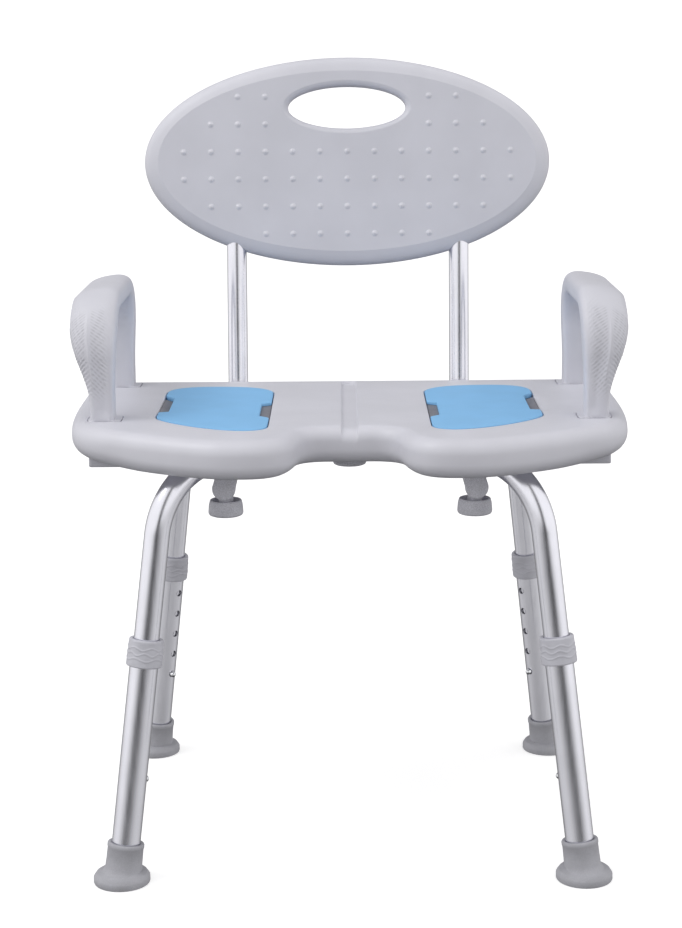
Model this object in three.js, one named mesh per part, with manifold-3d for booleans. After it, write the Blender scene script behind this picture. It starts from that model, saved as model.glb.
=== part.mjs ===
// Shower stool with a backrest, two lift-off armrests and four telescopic legs.
// Millimetres, +Z up, front towards -Y, floor at z = 0, origin on the floor under the middle of the stool.
import * as THREE from 'three';
import { mergeVertices } from 'three/addons/utils/BufferGeometryUtils.js';
import Module from 'manifold-3d';

const wasm = await Module();
wasm.setup();

// ---- driving dimensions ------------------------------------------------------------------------
const GAP = 0.3; // left between two pieces that touch
const HUB_Y = -11.38; // the crossing of the leg frame lies this far in front of the origin

// legs
const FOOT_X = 229.8; // foot centres, from the hub
const FOOT_Y = 190.9;
const LEG_LEAN = Math.atan(0.152); // towards the hub, going up
const LEG_SIDES = 16;
const UPPER_R = 12.6; // inner telescopic tube, which bends and crosses under the seat
const UPPER_WALL = 1.2;
const LOWER_R = 14.2; // outer telescopic tube
const LOWER_BORE_R = UPPER_R + GAP;
const UPPER_END = 84; // heights above the floor
const LOWER_END = 8;
const LOWER_TOP = 240;
const RUN_Z = 411; // centre of the crossing tubes under the seat
const BEND_R = 76;

// height adjustment
const BUTTON_Z = 102.6;
const BUTTON_R = 3.2;
const BUTTON_PROUD = 5; // height of its tip above the lower tube
const HOLE_R = 3.65;
const HOLE_PITCH = 25;
const HOLES = 5;

// feet and collars
const FLANGE_R = 28;
const FLANGE_H = 11;
const CUP_R = 17.8;
const CUP_TOP = 40;
const COLLAR_BOTTOM = 217.3;
const COLLAR_TOP = 244;

// crushed crossing of the two leg tubes
const CRUSH_HALF_H = 6;
const CRUSH_HALF_W = 16.3;
const CRUSH_LENGTH = 40; // half the length over which a tube's section changes
const CRUSH_STEP = 6.4; // each crushed centre lies this far above or below the run

// back tubes
const BACK_X = 124.6;
const BACK_R = 11.1;
const BACK_WALL = 1.2;
const BACK_SIDES = 16;
const BACK_RUN_Z = 386.2;
const BACK_LEAN = Math.atan(0.1255);
const BACK_CORNER_Y = 176.9; // where the run and the upright would meet without their bend
const BACK_BEND_R = 37;
const BACK_FRONT_Y = -129;
const BACK_TOP_Z = 690;
const PLUG_R = 11.6;
const PLUG_TOP = 12; // top of the end cap above the tube's axis

// seat
const SEAT_TOP = 445.4;
const SEAT_BOTTOM = 406.8;
const SEAT_HALF_W = 288;
const SEAT_BACK_Y = 169;
const SEAT_FRONT_Y = -198;
const SEAT_EDGE = 15; // radius of the rounded edge
const GROOVE_HALF_W = 8.5;
const GROOVE_DEPTH = 3;
const CHANNEL_ROOM = 0.8; // round the leg tubes, under the seat
const BELOW_SEAT = 390; // heights clear of the seat, where its cutters end
const ABOVE_SEAT = 460;

// arm posts
const ARM_IN = 230;
const ARM_BOW = 4.5; // how far the posts' inner faces bow outwards half-way up
const ARM_OUT_LOW = 263.3;
const ARM_OUT_HIGH = 280.3;
const ARM_FRONT_Y = -68; // post centres
const ARM_REAR_Y = 138;
const ARM_POST = 30; // depth of a post
const ARM_HANDLE = 27; // thickness of the handle
const ARM_BOTTOM = 398.5;
const ARM_TOP = 574.5;
const ARM_CORNER_R = 52;

// backrest
const BACKREST_Z = 684; // centre
const BACKREST_HALF_W = 226.5;
const BACKREST_HALF_H = 115.5;
const BACKREST_HALF_T = 15;
const GRIP_HALF_W = 65.5; // hand hole
const GRIP_HALF_H = 23.3;
const GRIP_RISE = 60;

// comfort inserts
const INSERT_DEPTH = 7.5;
const TRAY_T = 2.4;
const INSERT_PROUD = 0.8;

// fasteners
const STUD_R = 3;
const STUD_TOP = 434;
const STUD_HOLE_R = 4;
const NUT_R = 6;
const KNOB_R = 17.6;
const KNOB_H = 22;
const KNOB_DROP = 6; // the cup's rim lies this far below the boss
const BOSS_R = 7.4;
const HUB_KNOB_H = 15.8;
const KNOB_FLOOR = 5;

// ---- colours ----------------------------------------------------------------------------------
const material = (color, roughness, metalness = 0) =>
  new THREE.MeshStandardMaterial({ color, roughness, metalness });
const seatPlastic = material(0xc9cbd3, 0.5);
const armPlastic = material(0xd6d8df, 0.5);
const aluminium = material(0xd0d2d6, 0.3, 1);
const steel = material(0xc4c6c9, 0.25, 1);
const greyPlastic = material(0x9a9ba4, 0.55);
const rubberGrey = material(0x8f9098, 0.75);
const blueFoam = material(0x8fbfe6, 0.6);
const darkPlastic = material(0x5f6068, 0.6);

// ---- closed shapes ----------------------------------------------------------------------------

/** A geometry with only merged positions, without collapsed faces, and with its faces pointing out. */
function closed(geometry) {
  const bare = geometry.clone();
  for (const name of ['normal', 'uv']) bare.deleteAttribute(name);
  const merged = mergeVertices(bare, 1e-4);
  const at = merged.attributes.position;
  const faces = [];
  const index = merged.index.array;
  for (let i = 0; i < index.length; i += 3) {
    const [a, b, c] = [index[i], index[i + 1], index[i + 2]];
    if (a !== b && b !== c && c !== a) faces.push([a, b, c]);
  }
  const corner = (i) => new THREE.Vector3().fromBufferAttribute(at, i);
  const volume = faces.reduce((sum, [a, b, c]) => sum + corner(a).dot(corner(b).cross(corner(c))), 0);
  const order = volume < 0 ? faces.map(([a, b, c]) => [a, c, b]) : faces;
  merged.setIndex(order.flat());
  return merged;
}

function toSolid(geometry) {
  const shape = closed(geometry);
  const vertProperties = new Float32Array(shape.attributes.position.array);
  const triVerts = new Uint32Array(shape.index.array);
  return new wasm.Manifold(new wasm.Mesh({ numProp: 3, vertProperties, triVerts }));
}

function toGeometry(solid) {
  const { vertProperties, triVerts, numProp } = solid.getMesh();
  const geometry = new THREE.BufferGeometry();
  const positions = new Float32Array((vertProperties.length / numProp) * 3);
  for (let i = 0; i < positions.length / 3; i++) {
    for (let k = 0; k < 3; k++) positions[3 * i + k] = vertProperties[numProp * i + k];
  }
  geometry.setAttribute('position', new THREE.BufferAttribute(positions, 3));
  geometry.setIndex(new THREE.BufferAttribute(new Uint32Array(triVerts), 1));
  return geometry;
}

const cut = (geometry, tools) =>
  toGeometry(tools.reduce((solid, tool) => solid.subtract(toSolid(tool)), toSolid(geometry)));
const join = (...geometries) =>
  toGeometry(geometries.map(toSolid).reduce((solid, other) => solid.add(other)));

/** Triangles between rings of equal size, in order; the last ring meets the first when wrap is true. */
function ringFaces(rings, wrap) {
  const size = rings[0].length;
  const count = rings.length;
  const faces = [];
  for (let i = 0; i < (wrap ? count : count - 1); i++) {
    const next = (i + 1) % count;
    for (let j = 0; j < size; j++) {
      const k = (j + 1) % size;
      const [a, b, c, d] = [i * size + j, i * size + k, next * size + k, next * size + j];
      faces.push(a, b, c, a, c, d);
    }
  }
  return faces;
}

function meshOf(rings, faces) {
  const geometry = new THREE.BufferGeometry().setFromPoints(rings.flat());
  geometry.setIndex(faces);
  return geometry;
}

/** Triangles that fill a flat ring, anticlockwise about the ring's own normal. */
function capFaces(ring) {
  const normal = new THREE.Vector3();
  ring.forEach((p, j) => normal.add(p.clone().cross(ring[(j + 1) % ring.length])));
  const side = ring[1].clone().sub(ring[0]).normalize();
  const up = normal.normalize().cross(side);
  const flat = ring.map((p) => new THREE.Vector2(p.dot(side), p.dot(up)));
  return THREE.ShapeUtils.triangulateShape(flat, []);
}

/** A solid through rings of equal size, each end closed by the flat cap of its ring. */
function loft(rings) {
  const faces = ringFaces(rings, false);
  const last = (rings.length - 1) * rings[0].length;
  for (const [a, b, c] of capFaces(rings[0])) faces.push(a, c, b);
  for (const [a, b, c] of capFaces(rings.at(-1))) faces.push(last + a, last + b, last + c);
  return closed(meshOf(rings, faces));
}

/** A tube wall: outer rings one way, inner rings back. */
const tubeWall = (outer, inner) => {
  const rings = [...outer, ...inner.toReversed()];
  return closed(meshOf(rings, ringFaces(rings, true)));
};

/** A ring of a path's station: outline points (x along across x tangent, y along across). */
function ringAt({ centre, tangent, across }, outline) {
  const normal = across.clone().cross(tangent);
  return outline.map((p) => centre.clone().addScaledVector(normal, p.x).addScaledVector(across, p.y));
}

/** Points on an ellipse, anticlockwise. */
function ellipse(halfX, halfY, sides, turn = 0) {
  return Array.from({ length: sides }, (_, i) => {
    const angle = (i / sides) * 2 * Math.PI + turn;
    return new THREE.Vector2(halfX * Math.cos(angle), halfY * Math.sin(angle));
  });
}

/** A turned piece about Z, from (radius, height) points. */
function turned(profile, sides) {
  const points = profile.map(([r, z]) => new THREE.Vector2(r, z));
  return closed(new THREE.LatheGeometry(points, sides).rotateX(Math.PI / 2));
}

/** A rod about Z from z0 to z1. */
function rod(radius, z0, z1, sides = 12) {
  return closed(new THREE.CylinderGeometry(radius, radius, z1 - z0, sides)
    .rotateX(Math.PI / 2).translate(0, 0, (z0 + z1) / 2));
}

function box(x0, x1, y0, y1, z0, z1) {
  return new THREE.BoxGeometry(x1 - x0, y1 - y0, z1 - z0)
    .translate((x0 + x1) / 2, (y0 + y1) / 2, (z0 + z1) / 2);
}

/** A flat outline drawn up from z0 to z1. */
function slab(points, z0, z1) {
  return new THREE.ExtrudeGeometry(new THREE.Shape(points), { depth: z1 - z0, bevelEnabled: false })
    .translate(0, 0, z0);
}

/** An outline moved inwards by a distance; the outline runs anticlockwise. */
function inset(points, distance) {
  return points.map((p, i) => {
    const before = points.at(i - 1);
    const after = points[(i + 1) % points.length];
    const a = p.clone().sub(before).normalize();
    const b = after.clone().sub(p).normalize();
    const normal = new THREE.Vector2(-a.y - b.y, a.x + b.x).normalize();
    const reach = distance / Math.max(0.5, normal.dot(new THREE.Vector2(-a.y, a.x)));
    return p.clone().addScaledVector(normal, reach);
  });
}

// ---- paths ------------------------------------------------------------------------------------

/** Stations along an arc in the plane of two unit vectors, turning from one towards the other. */
function arc(start, along, towards, radius, angle, steps, across) {
  return Array.from({ length: steps + 1 }, (_, i) => {
    const turn = (angle * i) / steps;
    const centre = start.clone()
      .addScaledVector(along, radius * Math.sin(turn))
      .addScaledVector(towards, radius * (1 - Math.cos(turn)));
    const tangent = along.clone().multiplyScalar(Math.cos(turn))
      .addScaledVector(towards, Math.sin(turn));
    return { centre, tangent, across };
  });
}

const corners = [
  { name: 'front_left', x: -1, y: -1 },
  { name: 'front_right', x: 1, y: -1 },
  { name: 'rear_right', x: 1, y: 1 },
  { name: 'rear_left', x: -1, y: 1 },
];
const sides = [{ name: 'left', x: -1 }, { name: 'right', x: 1 }];
const footReach = Math.hypot(FOOT_X, FOOT_Y);
const legAzimuth = Math.atan2(FOOT_Y, FOOT_X);
const alongLeg = (z) => z / Math.cos(LEG_LEAN); // from the floor, for a height

const stool = new THREE.Group();
stool.position.set(0, HUB_Y, 0);

function add(parent, name, geometry, look) {
  const mesh = new THREE.Mesh(geometry, look.clone());
  mesh.name = name;
  parent.add(mesh);
  return mesh;
}

// ---- leg frame --------------------------------------------------------------------------------

/** Half of a leg tube in its own upright plane, from its lower end at +X to the hub. */
function legHalf() {
  const across = new THREE.Vector3(0, 1, 0);
  const up = new THREE.Vector3(-Math.sin(LEG_LEAN), 0, Math.cos(LEG_LEAN));
  const inwards = new THREE.Vector3(-Math.cos(LEG_LEAN), 0, -Math.sin(LEG_LEAN));
  const bendStartZ = RUN_Z - BEND_R * (1 - Math.sin(LEG_LEAN));
  const onLeg = (z) => new THREE.Vector3(footReach - z * Math.tan(LEG_LEAN), 0, z);
  const bend = arc(onLeg(bendStartZ), up, inwards, BEND_R, Math.PI / 2 - LEG_LEAN, 6, across);
  return [{ centre: onLeg(UPPER_END), tangent: up, across }, ...bend];
}

/** One bent leg tube with its two legs, crushed where it crosses the other; step is +1 above, -1 below. */
function crossTube(step) {
  const across = new THREE.Vector3(0, 1, 0);
  const half = legHalf();
  const mirrored = half.toReversed().map(({ centre, tangent }) => ({
    centre: centre.clone().setX(-centre.x),
    tangent: new THREE.Vector3(tangent.x, 0, -tangent.z),
    across,
  }));
  const crush = [[1, 0], [0.75, 0.5], [0.52, 1], [-0.52, 1], [-0.75, 0.5], [-1, 0]].map(([x, share]) => ({
    centre: new THREE.Vector3(x * CRUSH_LENGTH, 0, RUN_Z + step * CRUSH_STEP * share),
    tangent: new THREE.Vector3(-1, 0, 0),
    across,
    share,
  }));
  const stations = [...half, ...crush, ...mirrored];
  const wall = (thick) => stations.map((station) => {
    const share = station.share ?? 0;
    const h = THREE.MathUtils.lerp(UPPER_R, CRUSH_HALF_H, share) - thick;
    const w = THREE.MathUtils.lerp(UPPER_R, CRUSH_HALF_W, share) - thick;
    return ringAt(station, ellipse(h, w, LEG_SIDES));
  });
  const crossings = [-1, 0, 1].map((end) =>
    rod(STUD_HOLE_R, RUN_Z - 20, RUN_Z + 20).translate(end * Math.hypot(BACK_X, crossingY), 0, 0));
  const buttonHoles = [-1, 1].map((end) => holeTool(BUTTON_Z).rotateZ(end < 0 ? 0 : Math.PI)
    .translate(end * footReach, 0, 0));
  return cut(tubeWall(wall(0), wall(UPPER_WALL)), [...crossings, ...buttonHoles]);
}

/** A hole's cutter through one wall of a leg that stands at the origin and leans towards +X. */
function holeTool(z) {
  return rod(HOLE_R, 5, 20, 10).rotateY(Math.PI / 2).translate(0, 0, alongLeg(z)).rotateY(LEG_LEAN);
}

const crossingY = BACK_X * Math.tan(legAzimuth);

function legFrame() {
  for (const { name, turn, step } of [
    { name: 'cross_tube_a', turn: legAzimuth, step: 1 },
    { name: 'cross_tube_b', turn: -legAzimuth, step: -1 },
  ]) {
    add(stool, name, crossTube(step), aluminium).rotation.z = turn;
  }
}

// ---- lower legs: built standing at the origin, leaning towards +X -----------------------------

function lowerLeg() {
  const [z0, z1] = [alongLeg(LOWER_END), alongLeg(LOWER_TOP)];
  const ring = (r, z) => ellipse(r, r, LEG_SIDES).map((p) => new THREE.Vector3(p.x, p.y, z));
  const wall = (r) => [ring(r, z0), ring(r, z1)];
  const tube = tubeWall(wall(LOWER_R), wall(LOWER_BORE_R));
  const holes = Array.from({ length: HOLES }, (_, i) =>
    rod(HOLE_R, 5, 20, 10).rotateY(Math.PI / 2).translate(0, 0, alongLeg(BUTTON_Z) + i * HOLE_PITCH));
  return cut(tube, holes);
}

function collar() {
  const grip = LOWER_R + GAP;
  const lip = UPPER_R + GAP + 0.2;
  const [z0, z1] = [alongLeg(COLLAR_BOTTOM), alongLeg(COLLAR_TOP)];
  const stop = alongLeg(LOWER_TOP) + GAP;
  const profile = [
    [grip, z0], [CUP_R - 0.6, z0], [CUP_R, z0 + 1.2], [17.1, z1 - 1.4],
    [16.2, z1], [lip, z1], [lip, stop], [grip, stop], [grip, z0],
  ];
  return turned(profile, LEG_SIDES);
}

function foot() {
  const flange = turned([
    [0, 0], [FLANGE_R - 0.8, 0], [FLANGE_R, 1.2], [25.6, FLANGE_H - 1], [24.4, FLANGE_H], [0, FLANGE_H],
  ], LEG_SIDES);
  const top = alongLeg(CUP_TOP);
  const cup = turned([
    [0, 5], [CUP_R + 3.4, 5], [CUP_R + 2.8, FLANGE_H + 2], [CUP_R + 0.8, FLANGE_H + 5],
    [CUP_R, top - 1.2], [CUP_R - 1, top], [0, top],
  ], LEG_SIDES).rotateY(LEG_LEAN);
  const bore = rod(LOWER_R + GAP, alongLeg(LOWER_END) - GAP, top + 5, LEG_SIDES).rotateY(LEG_LEAN);
  return cut(join(flange, cup), [bore]);
}

/** Domed button on the leg's axis height, pointing along +X; its tip stands proud of the lower tube. */
function button() {
  const tip = LOWER_R + BUTTON_PROUD;
  return turned([
    [0, 9.6], [BUTTON_R + 0.9, 9.6], [BUTTON_R + 0.9, 10.2], [BUTTON_R, 10.2], [BUTTON_R, tip - 1.4],
    [BUTTON_R * 0.72, tip - 0.4], [0, tip],
  ], 10).rotateY(Math.PI / 2);
}

/** V-shaped leaf spring inside the leg, which pushes the button out. */
function springClip() {
  const leaf = [[8.9, 9], [8.9, -9], [3, -30], [-3, -32], [-7.6, -28], [-10, 6]];
  const half = 0.35;
  const normals = leaf.map((p, i) => {
    const a = leaf[Math.max(i - 1, 0)];
    const b = leaf[Math.min(i + 1, leaf.length - 1)];
    return new THREE.Vector2(b[1] - a[1], a[0] - b[0]).normalize();
  });
  const side = (sign) => leaf.map(([x, z], i) =>
    new THREE.Vector2(x + sign * half * normals[i].x, z + sign * half * normals[i].y));
  return slab([...side(1), ...side(-1).toReversed()], -3.5, 3.5).rotateX(Math.PI / 2);
}

function lowerLegs() {
  for (const { name, x, y } of corners) {
    const corner = new THREE.Group();
    corner.position.set(x * FOOT_X, y * FOOT_Y, 0);
    corner.rotation.z = Math.atan2(-y * FOOT_Y, -x * FOOT_X);
    stool.add(corner);
    const leaning = new THREE.Group();
    leaning.rotation.y = LEG_LEAN;
    corner.add(leaning);
    add(leaning, `lower_leg_${name}`, lowerLeg(), aluminium);
    add(leaning, `collar_${name}`, collar(), greyPlastic);
    add(leaning, `button_${name}`, button(), steel).position.z = alongLeg(BUTTON_Z);
    add(leaning, `spring_clip_${name}`, springClip(), steel).position.z = alongLeg(BUTTON_Z);
    add(corner, `foot_${name}`, foot(), rubberGrey);
  }
}

// ---- back tubes and their fixings -------------------------------------------------------------

function backPath() {
  const across = new THREE.Vector3(1, 0, 0);
  const back = new THREE.Vector3(0, 1, 0);
  const angle = Math.PI / 2 - BACK_LEAN;
  const cornerLength = BACK_BEND_R * Math.tan(angle / 2);
  const bendStart = new THREE.Vector3(0, BACK_CORNER_Y - cornerLength, BACK_RUN_Z);
  const bend = arc(bendStart, back, new THREE.Vector3(0, 0, 1), BACK_BEND_R, angle, 6, across);
  const tangent = bend.at(-1).tangent;
  const rise = (BACK_TOP_Z - BACK_RUN_Z) / Math.cos(BACK_LEAN);
  const top = new THREE.Vector3(0, BACK_CORNER_Y, BACK_RUN_Z).addScaledVector(tangent, rise);
  const front = new THREE.Vector3(0, BACK_FRONT_Y, BACK_RUN_Z);
  return [{ centre: front, tangent: back, across }, ...bend, { centre: top, tangent, across }];
}

function backTube() {
  const path = backPath();
  const wall = (r) => path.map((station) => ringAt(station, ellipse(r, r, BACK_SIDES)));
  const holes = [-1, 1].map((end) =>
    rod(STUD_HOLE_R, BACK_RUN_Z - 20, BACK_RUN_Z + 20).translate(0, end * crossingY, 0));
  return cut(tubeWall(wall(BACK_R), wall(BACK_R - BACK_WALL)), holes);
}

/** End cap of a back tube: a stem in the bore and a head, square above, which bears on the seat. */
function backTubePlug() {
  const stem = rod(BACK_R - BACK_WALL - GAP, -2, 14, BACK_SIDES).rotateX(-Math.PI / 2);
  const outline = new THREE.Shape();
  outline.moveTo(-PLUG_R, PLUG_TOP);
  outline.lineTo(-PLUG_R, 0);
  outline.absarc(0, 0, PLUG_R, Math.PI, 2 * Math.PI, false);
  outline.lineTo(PLUG_R, PLUG_TOP);
  const head = new THREE.ExtrudeGeometry(outline, {
    depth: 3.4, curveSegments: 10, bevelThickness: 1.2, bevelSize: 1.2, bevelOffset: -1.2, bevelSegments: 1,
  }).rotateX(Math.PI / 2).translate(0, -GAP - 1.2, 0);
  return join(head, stem).translate(0, BACK_FRONT_Y, BACK_RUN_Z);
}

/** Cupped hand knob; its boss bears on the tube above at z = 0. */
function knob(height) {
  return turned([
    [0, -height], [14.4, -height], [KNOB_R, 3 - height], [15.6, -KNOB_DROP], [13.6, -KNOB_DROP],
    [13.2, -KNOB_DROP - 5], [BOSS_R, -KNOB_DROP - 5], [BOSS_R, -GAP], [STUD_R + GAP, -GAP],
    [STUD_R + GAP, KNOB_FLOOR - height], [0, KNOB_FLOOR - height],
  ], 16);
}

function stud(z0) {
  return turned([[0, z0], [STUD_R, z0], [STUD_R, STUD_TOP - 1], [STUD_R - 1, STUD_TOP], [0, STUD_TOP]], 8);
}

function seatNut() {
  const bore = STUD_R + 2 * GAP;
  const bottom = RUN_Z + UPPER_R + 1;
  const top = STUD_TOP + 1;
  return turned([[bore, bottom], [NUT_R, bottom], [NUT_R, top], [bore, top], [bore, bottom]], 6);
}

function backFrame() {
  for (const { name, x } of sides) {
    add(stool, `back_tube_${name}`, backTube(), aluminium).position.x = x * BACK_X;
    add(stool, `back_tube_plug_${name}`, backTubePlug(), greyPlastic).position.x = x * BACK_X;
  }
}

function fasteners() {
  const tubeBottom = BACK_RUN_Z - BACK_R;
  for (const { name, x, y } of corners) {
    const at = new THREE.Group();
    at.position.set(x * BACK_X, y * crossingY, 0);
    stool.add(at);
    add(at, `knob_${name}`, knob(KNOB_H), greyPlastic).position.z = tubeBottom;
    add(at, `stud_${name}`, stud(tubeBottom - KNOB_H + KNOB_FLOOR + GAP), steel);
    add(at, `seat_nut_${name}`, seatNut(), steel);
  }
  const hubBottom = RUN_Z - CRUSH_STEP - CRUSH_HALF_H;
  add(stool, 'knob_hub', knob(HUB_KNOB_H), greyPlastic).position.z = hubBottom;
  add(stool, 'stud_hub', stud(hubBottom - HUB_KNOB_H + KNOB_FLOOR + GAP), steel);
  add(stool, 'seat_nut_hub', seatNut(), steel);
}

// ---- seat -------------------------------------------------------------------------------------

/** Half of the seat's outline, from the middle of the front cut-out round to the middle of the back. */
function seatHalf() {
  const path = new THREE.Path();
  path.moveTo(0, -117);
  path.lineTo(24, -117);
  path.bezierCurveTo(38, -118, 45, -124, 49, -142);
  path.bezierCurveTo(53, -164, 58, -182, 74, -192);
  path.bezierCurveTo(88, SEAT_FRONT_Y - 2, 104, SEAT_FRONT_Y - 2, 126, -198);
  path.bezierCurveTo(165, -189, 203, -161, 236, -140);
  path.bezierCurveTo(259, -125, 277, -102, 281, -68);
  path.bezierCurveTo(285, -38, SEAT_HALF_W, -5, SEAT_HALF_W, 60);
  path.lineTo(SEAT_HALF_W, SEAT_BACK_Y - 46);
  const [w, back] = [SEAT_HALF_W, SEAT_BACK_Y];
  path.bezierCurveTo(w, back - 18, w - 18, back, w - 50, back);
  path.lineTo(0, SEAT_BACK_Y);
  return path.getPoints(4);
}

function seatOutline() {
  const half = seatHalf();
  const inner = half.slice(1, -1);
  const mirrored = inner.toReversed().map((p) => new THREE.Vector2(-p.x, p.y));
  return [...half, ...mirrored];
}

const atHeight = (points, z) => points.map((p) => new THREE.Vector3(p.x, p.y, z));

/** The outline of one comfort insert, for the right side; grow moves it outwards. */
function insertOutline(notched, grow) {
  const path = new THREE.Path();
  path.moveTo(82, -108);
  path.bezierCurveTo(82, -124, 88, -134, 104, -135);
  path.bezierCurveTo(132, -134, 172, -100, 188, -78);
  path.bezierCurveTo(194, -70, 196, -62, 196, -54);
  path.lineTo(196, -34);
  if (notched) {
    path.lineTo(186, -30);
    path.lineTo(186, 52);
    path.lineTo(196, 66);
  }
  path.lineTo(196, 84);
  path.bezierCurveTo(196, 108, 178, 121, 150, 122);
  path.bezierCurveTo(126, 123, 96, 122, 84, 98);
  path.lineTo(82, 90);
  if (notched) {
    path.lineTo(82, 28);
    path.lineTo(92, 22);
    path.lineTo(92, -50);
    path.lineTo(82, -60);
  }
  const points = path.getPoints(4);
  return inset(points, -grow);
}

function seat() {
  const outline = seatOutline();
  const half = [0, 45, 90].map((deg) => THREE.MathUtils.degToRad(deg));
  const edge = (share) => SEAT_EDGE * (1 - share);
  const profile = [
    ...half.map((a) => [edge(Math.sin(a)), SEAT_BOTTOM + edge(Math.cos(a))]),
    ...half.toReversed().map((a) => [edge(Math.sin(a)), SEAT_TOP - edge(Math.cos(a))]),
  ];
  const body = loft(profile.map(([e, z]) => atHeight(inset(outline, e), z)));
  const channelHalf = UPPER_R + CHANNEL_ROOM;
  const channelReach = footReach - RUN_Z * Math.tan(LEG_LEAN) - 9; // ends where the tubes have turned down
  const grooveEnds = [SEAT_FRONT_Y, SEAT_BACK_Y - SEAT_EDGE];
  const groove = box(-GROOVE_HALF_W, GROOVE_HALF_W, ...grooveEnds, SEAT_TOP - GROOVE_DEPTH, ABOVE_SEAT);
  const tools = [groove];
  for (const { x } of sides) {
    for (const y of [ARM_FRONT_Y, ARM_REAR_Y]) {
      const halfPost = ARM_POST / 2 + 0.5;
      const [inner, outer] = [ARM_IN - 0.5, ARM_OUT_LOW + 0.7];
      const reach = x > 0 ? [inner, outer] : [-outer, -inner];
      tools.push(box(...reach, y - halfPost, y + halfPost, BELOW_SEAT, ABOVE_SEAT));
    }
    const pocket = slab(insertOutline(false, 2 * GAP), SEAT_TOP - INSERT_DEPTH, ABOVE_SEAT);
    tools.push(x > 0 ? pocket : pocket.scale(-1, 1, 1));
    const width = [-channelHalf, channelHalf];
    const channel = box(-channelReach, channelReach, ...width, BELOW_SEAT, RUN_Z + channelHalf);
    tools.push(channel.rotateZ(x * legAzimuth));
  }
  tools.push(rod(CRUSH_LENGTH, BELOW_SEAT, RUN_Z + channelHalf, 24));
  for (const { x, y } of [...corners, { x: 0, y: 0 }]) {
    tools.push(rod(NUT_R + GAP, RUN_Z, STUD_TOP + 1 + GAP).translate(x * BACK_X, y * crossingY, 0));
  }
  return cut(body, tools);
}

function insertTray() {
  const floor = SEAT_TOP - INSERT_DEPTH + GAP;
  return slab(insertOutline(false, 0), floor, floor + TRAY_T);
}

function comfortInsert() {
  const bottom = SEAT_TOP - INSERT_DEPTH + TRAY_T + 2 * GAP;
  const top = SEAT_TOP + INSERT_PROUD;
  const rings = [[0, bottom], [0, top - 1.5], [0.5, top - 0.4], [1.6, top]];
  return loft(rings.map(([e, z]) => atHeight(insertOutline(true, -e), z)));
}

function seatPieces() {
  add(stool, 'seat', seat(), seatPlastic);
  for (const { name, x } of sides) {
    const mirror = (geometry) => (x > 0 ? geometry : closed(geometry.scale(-1, 1, 1)));
    add(stool, `insert_tray_${name}`, mirror(insertTray()), darkPlastic);
    add(stool, `insert_${name}`, mirror(comfortInsert()), blueFoam);
  }
}

// ---- armrests ---------------------------------------------------------------------------------

/** Where the armrest's inner and outer faces lie at a height. */
function armFaces(z) {
  const bow = Math.max(0, Math.sin((Math.PI * (z - SEAT_TOP + 5)) / 120));
  const share = THREE.MathUtils.smoothstep(z, SEAT_TOP + 12, SEAT_TOP + 96);
  return [ARM_IN + ARM_BOW * bow, THREE.MathUtils.lerp(ARM_OUT_LOW, ARM_OUT_HIGH, share)];
}

function armPath() {
  const across = new THREE.Vector3(1, 0, 0);
  const up = new THREE.Vector3(0, 0, 1);
  const back = new THREE.Vector3(0, 1, 0);
  const bendZ = ARM_TOP - ARM_HANDLE / 2 - ARM_CORNER_R;
  const levels = [ARM_BOTTOM, SEAT_TOP + 1, SEAT_TOP + 16, bendZ - 24, bendZ - 4];
  const post = (y, tangent) => levels.map((z) => ({ centre: new THREE.Vector3(0, y, z), tangent, across }));
  const quarter = (start, from, to) => arc(start, from, to, ARM_CORNER_R, Math.PI / 2, 6, across);
  const front = quarter(new THREE.Vector3(0, ARM_FRONT_Y, bendZ), up, back);
  const down = up.clone().negate();
  const rearStart = new THREE.Vector3(0, ARM_REAR_Y - ARM_CORNER_R, ARM_TOP - ARM_HANDLE / 2);
  const rear = quarter(rearStart, back, down);
  return [...post(ARM_FRONT_Y, up), ...front, ...rear, ...post(ARM_REAR_Y, down).toReversed()];
}

/** A rounded rectangle between two faces, seen along the path; round goes from 0, square, to 1, oval. */
function armSection(thickness, [inner, outer], round) {
  const halfX = (outer - inner) / 2;
  return ellipse(1, 1, 16, Math.PI / 16).map((p) => {
    const stretch = (1 - round) / Math.max(Math.abs(p.x), Math.abs(p.y)) + round;
    return new THREE.Vector2(p.x * stretch * (thickness / 2), inner + halfX + p.y * stretch * halfX);
  });
}

function armrest() {
  const rings = armPath().map((station) => {
    const level = Math.abs(station.tangent.y);
    const { z } = station.centre;
    const thickness = THREE.MathUtils.lerp(ARM_POST, ARM_HANDLE, level);
    const round = THREE.MathUtils.lerp(z < SEAT_TOP + 10 ? 0.1 : 0.4, 0.7, level);
    const faces = z < SEAT_TOP ? [ARM_IN, ARM_OUT_LOW] : armFaces(z);
    return ringAt(station, armSection(thickness, faces, round));
  });
  return loft(rings);
}

function armrests() {
  for (const { name, x } of sides) {
    const geometry = armrest();
    add(stool, `armrest_${name}`, x > 0 ? geometry : closed(geometry.scale(-1, 1, 1)), armPlastic);
  }
}

// ---- backrest ---------------------------------------------------------------------------------

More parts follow.
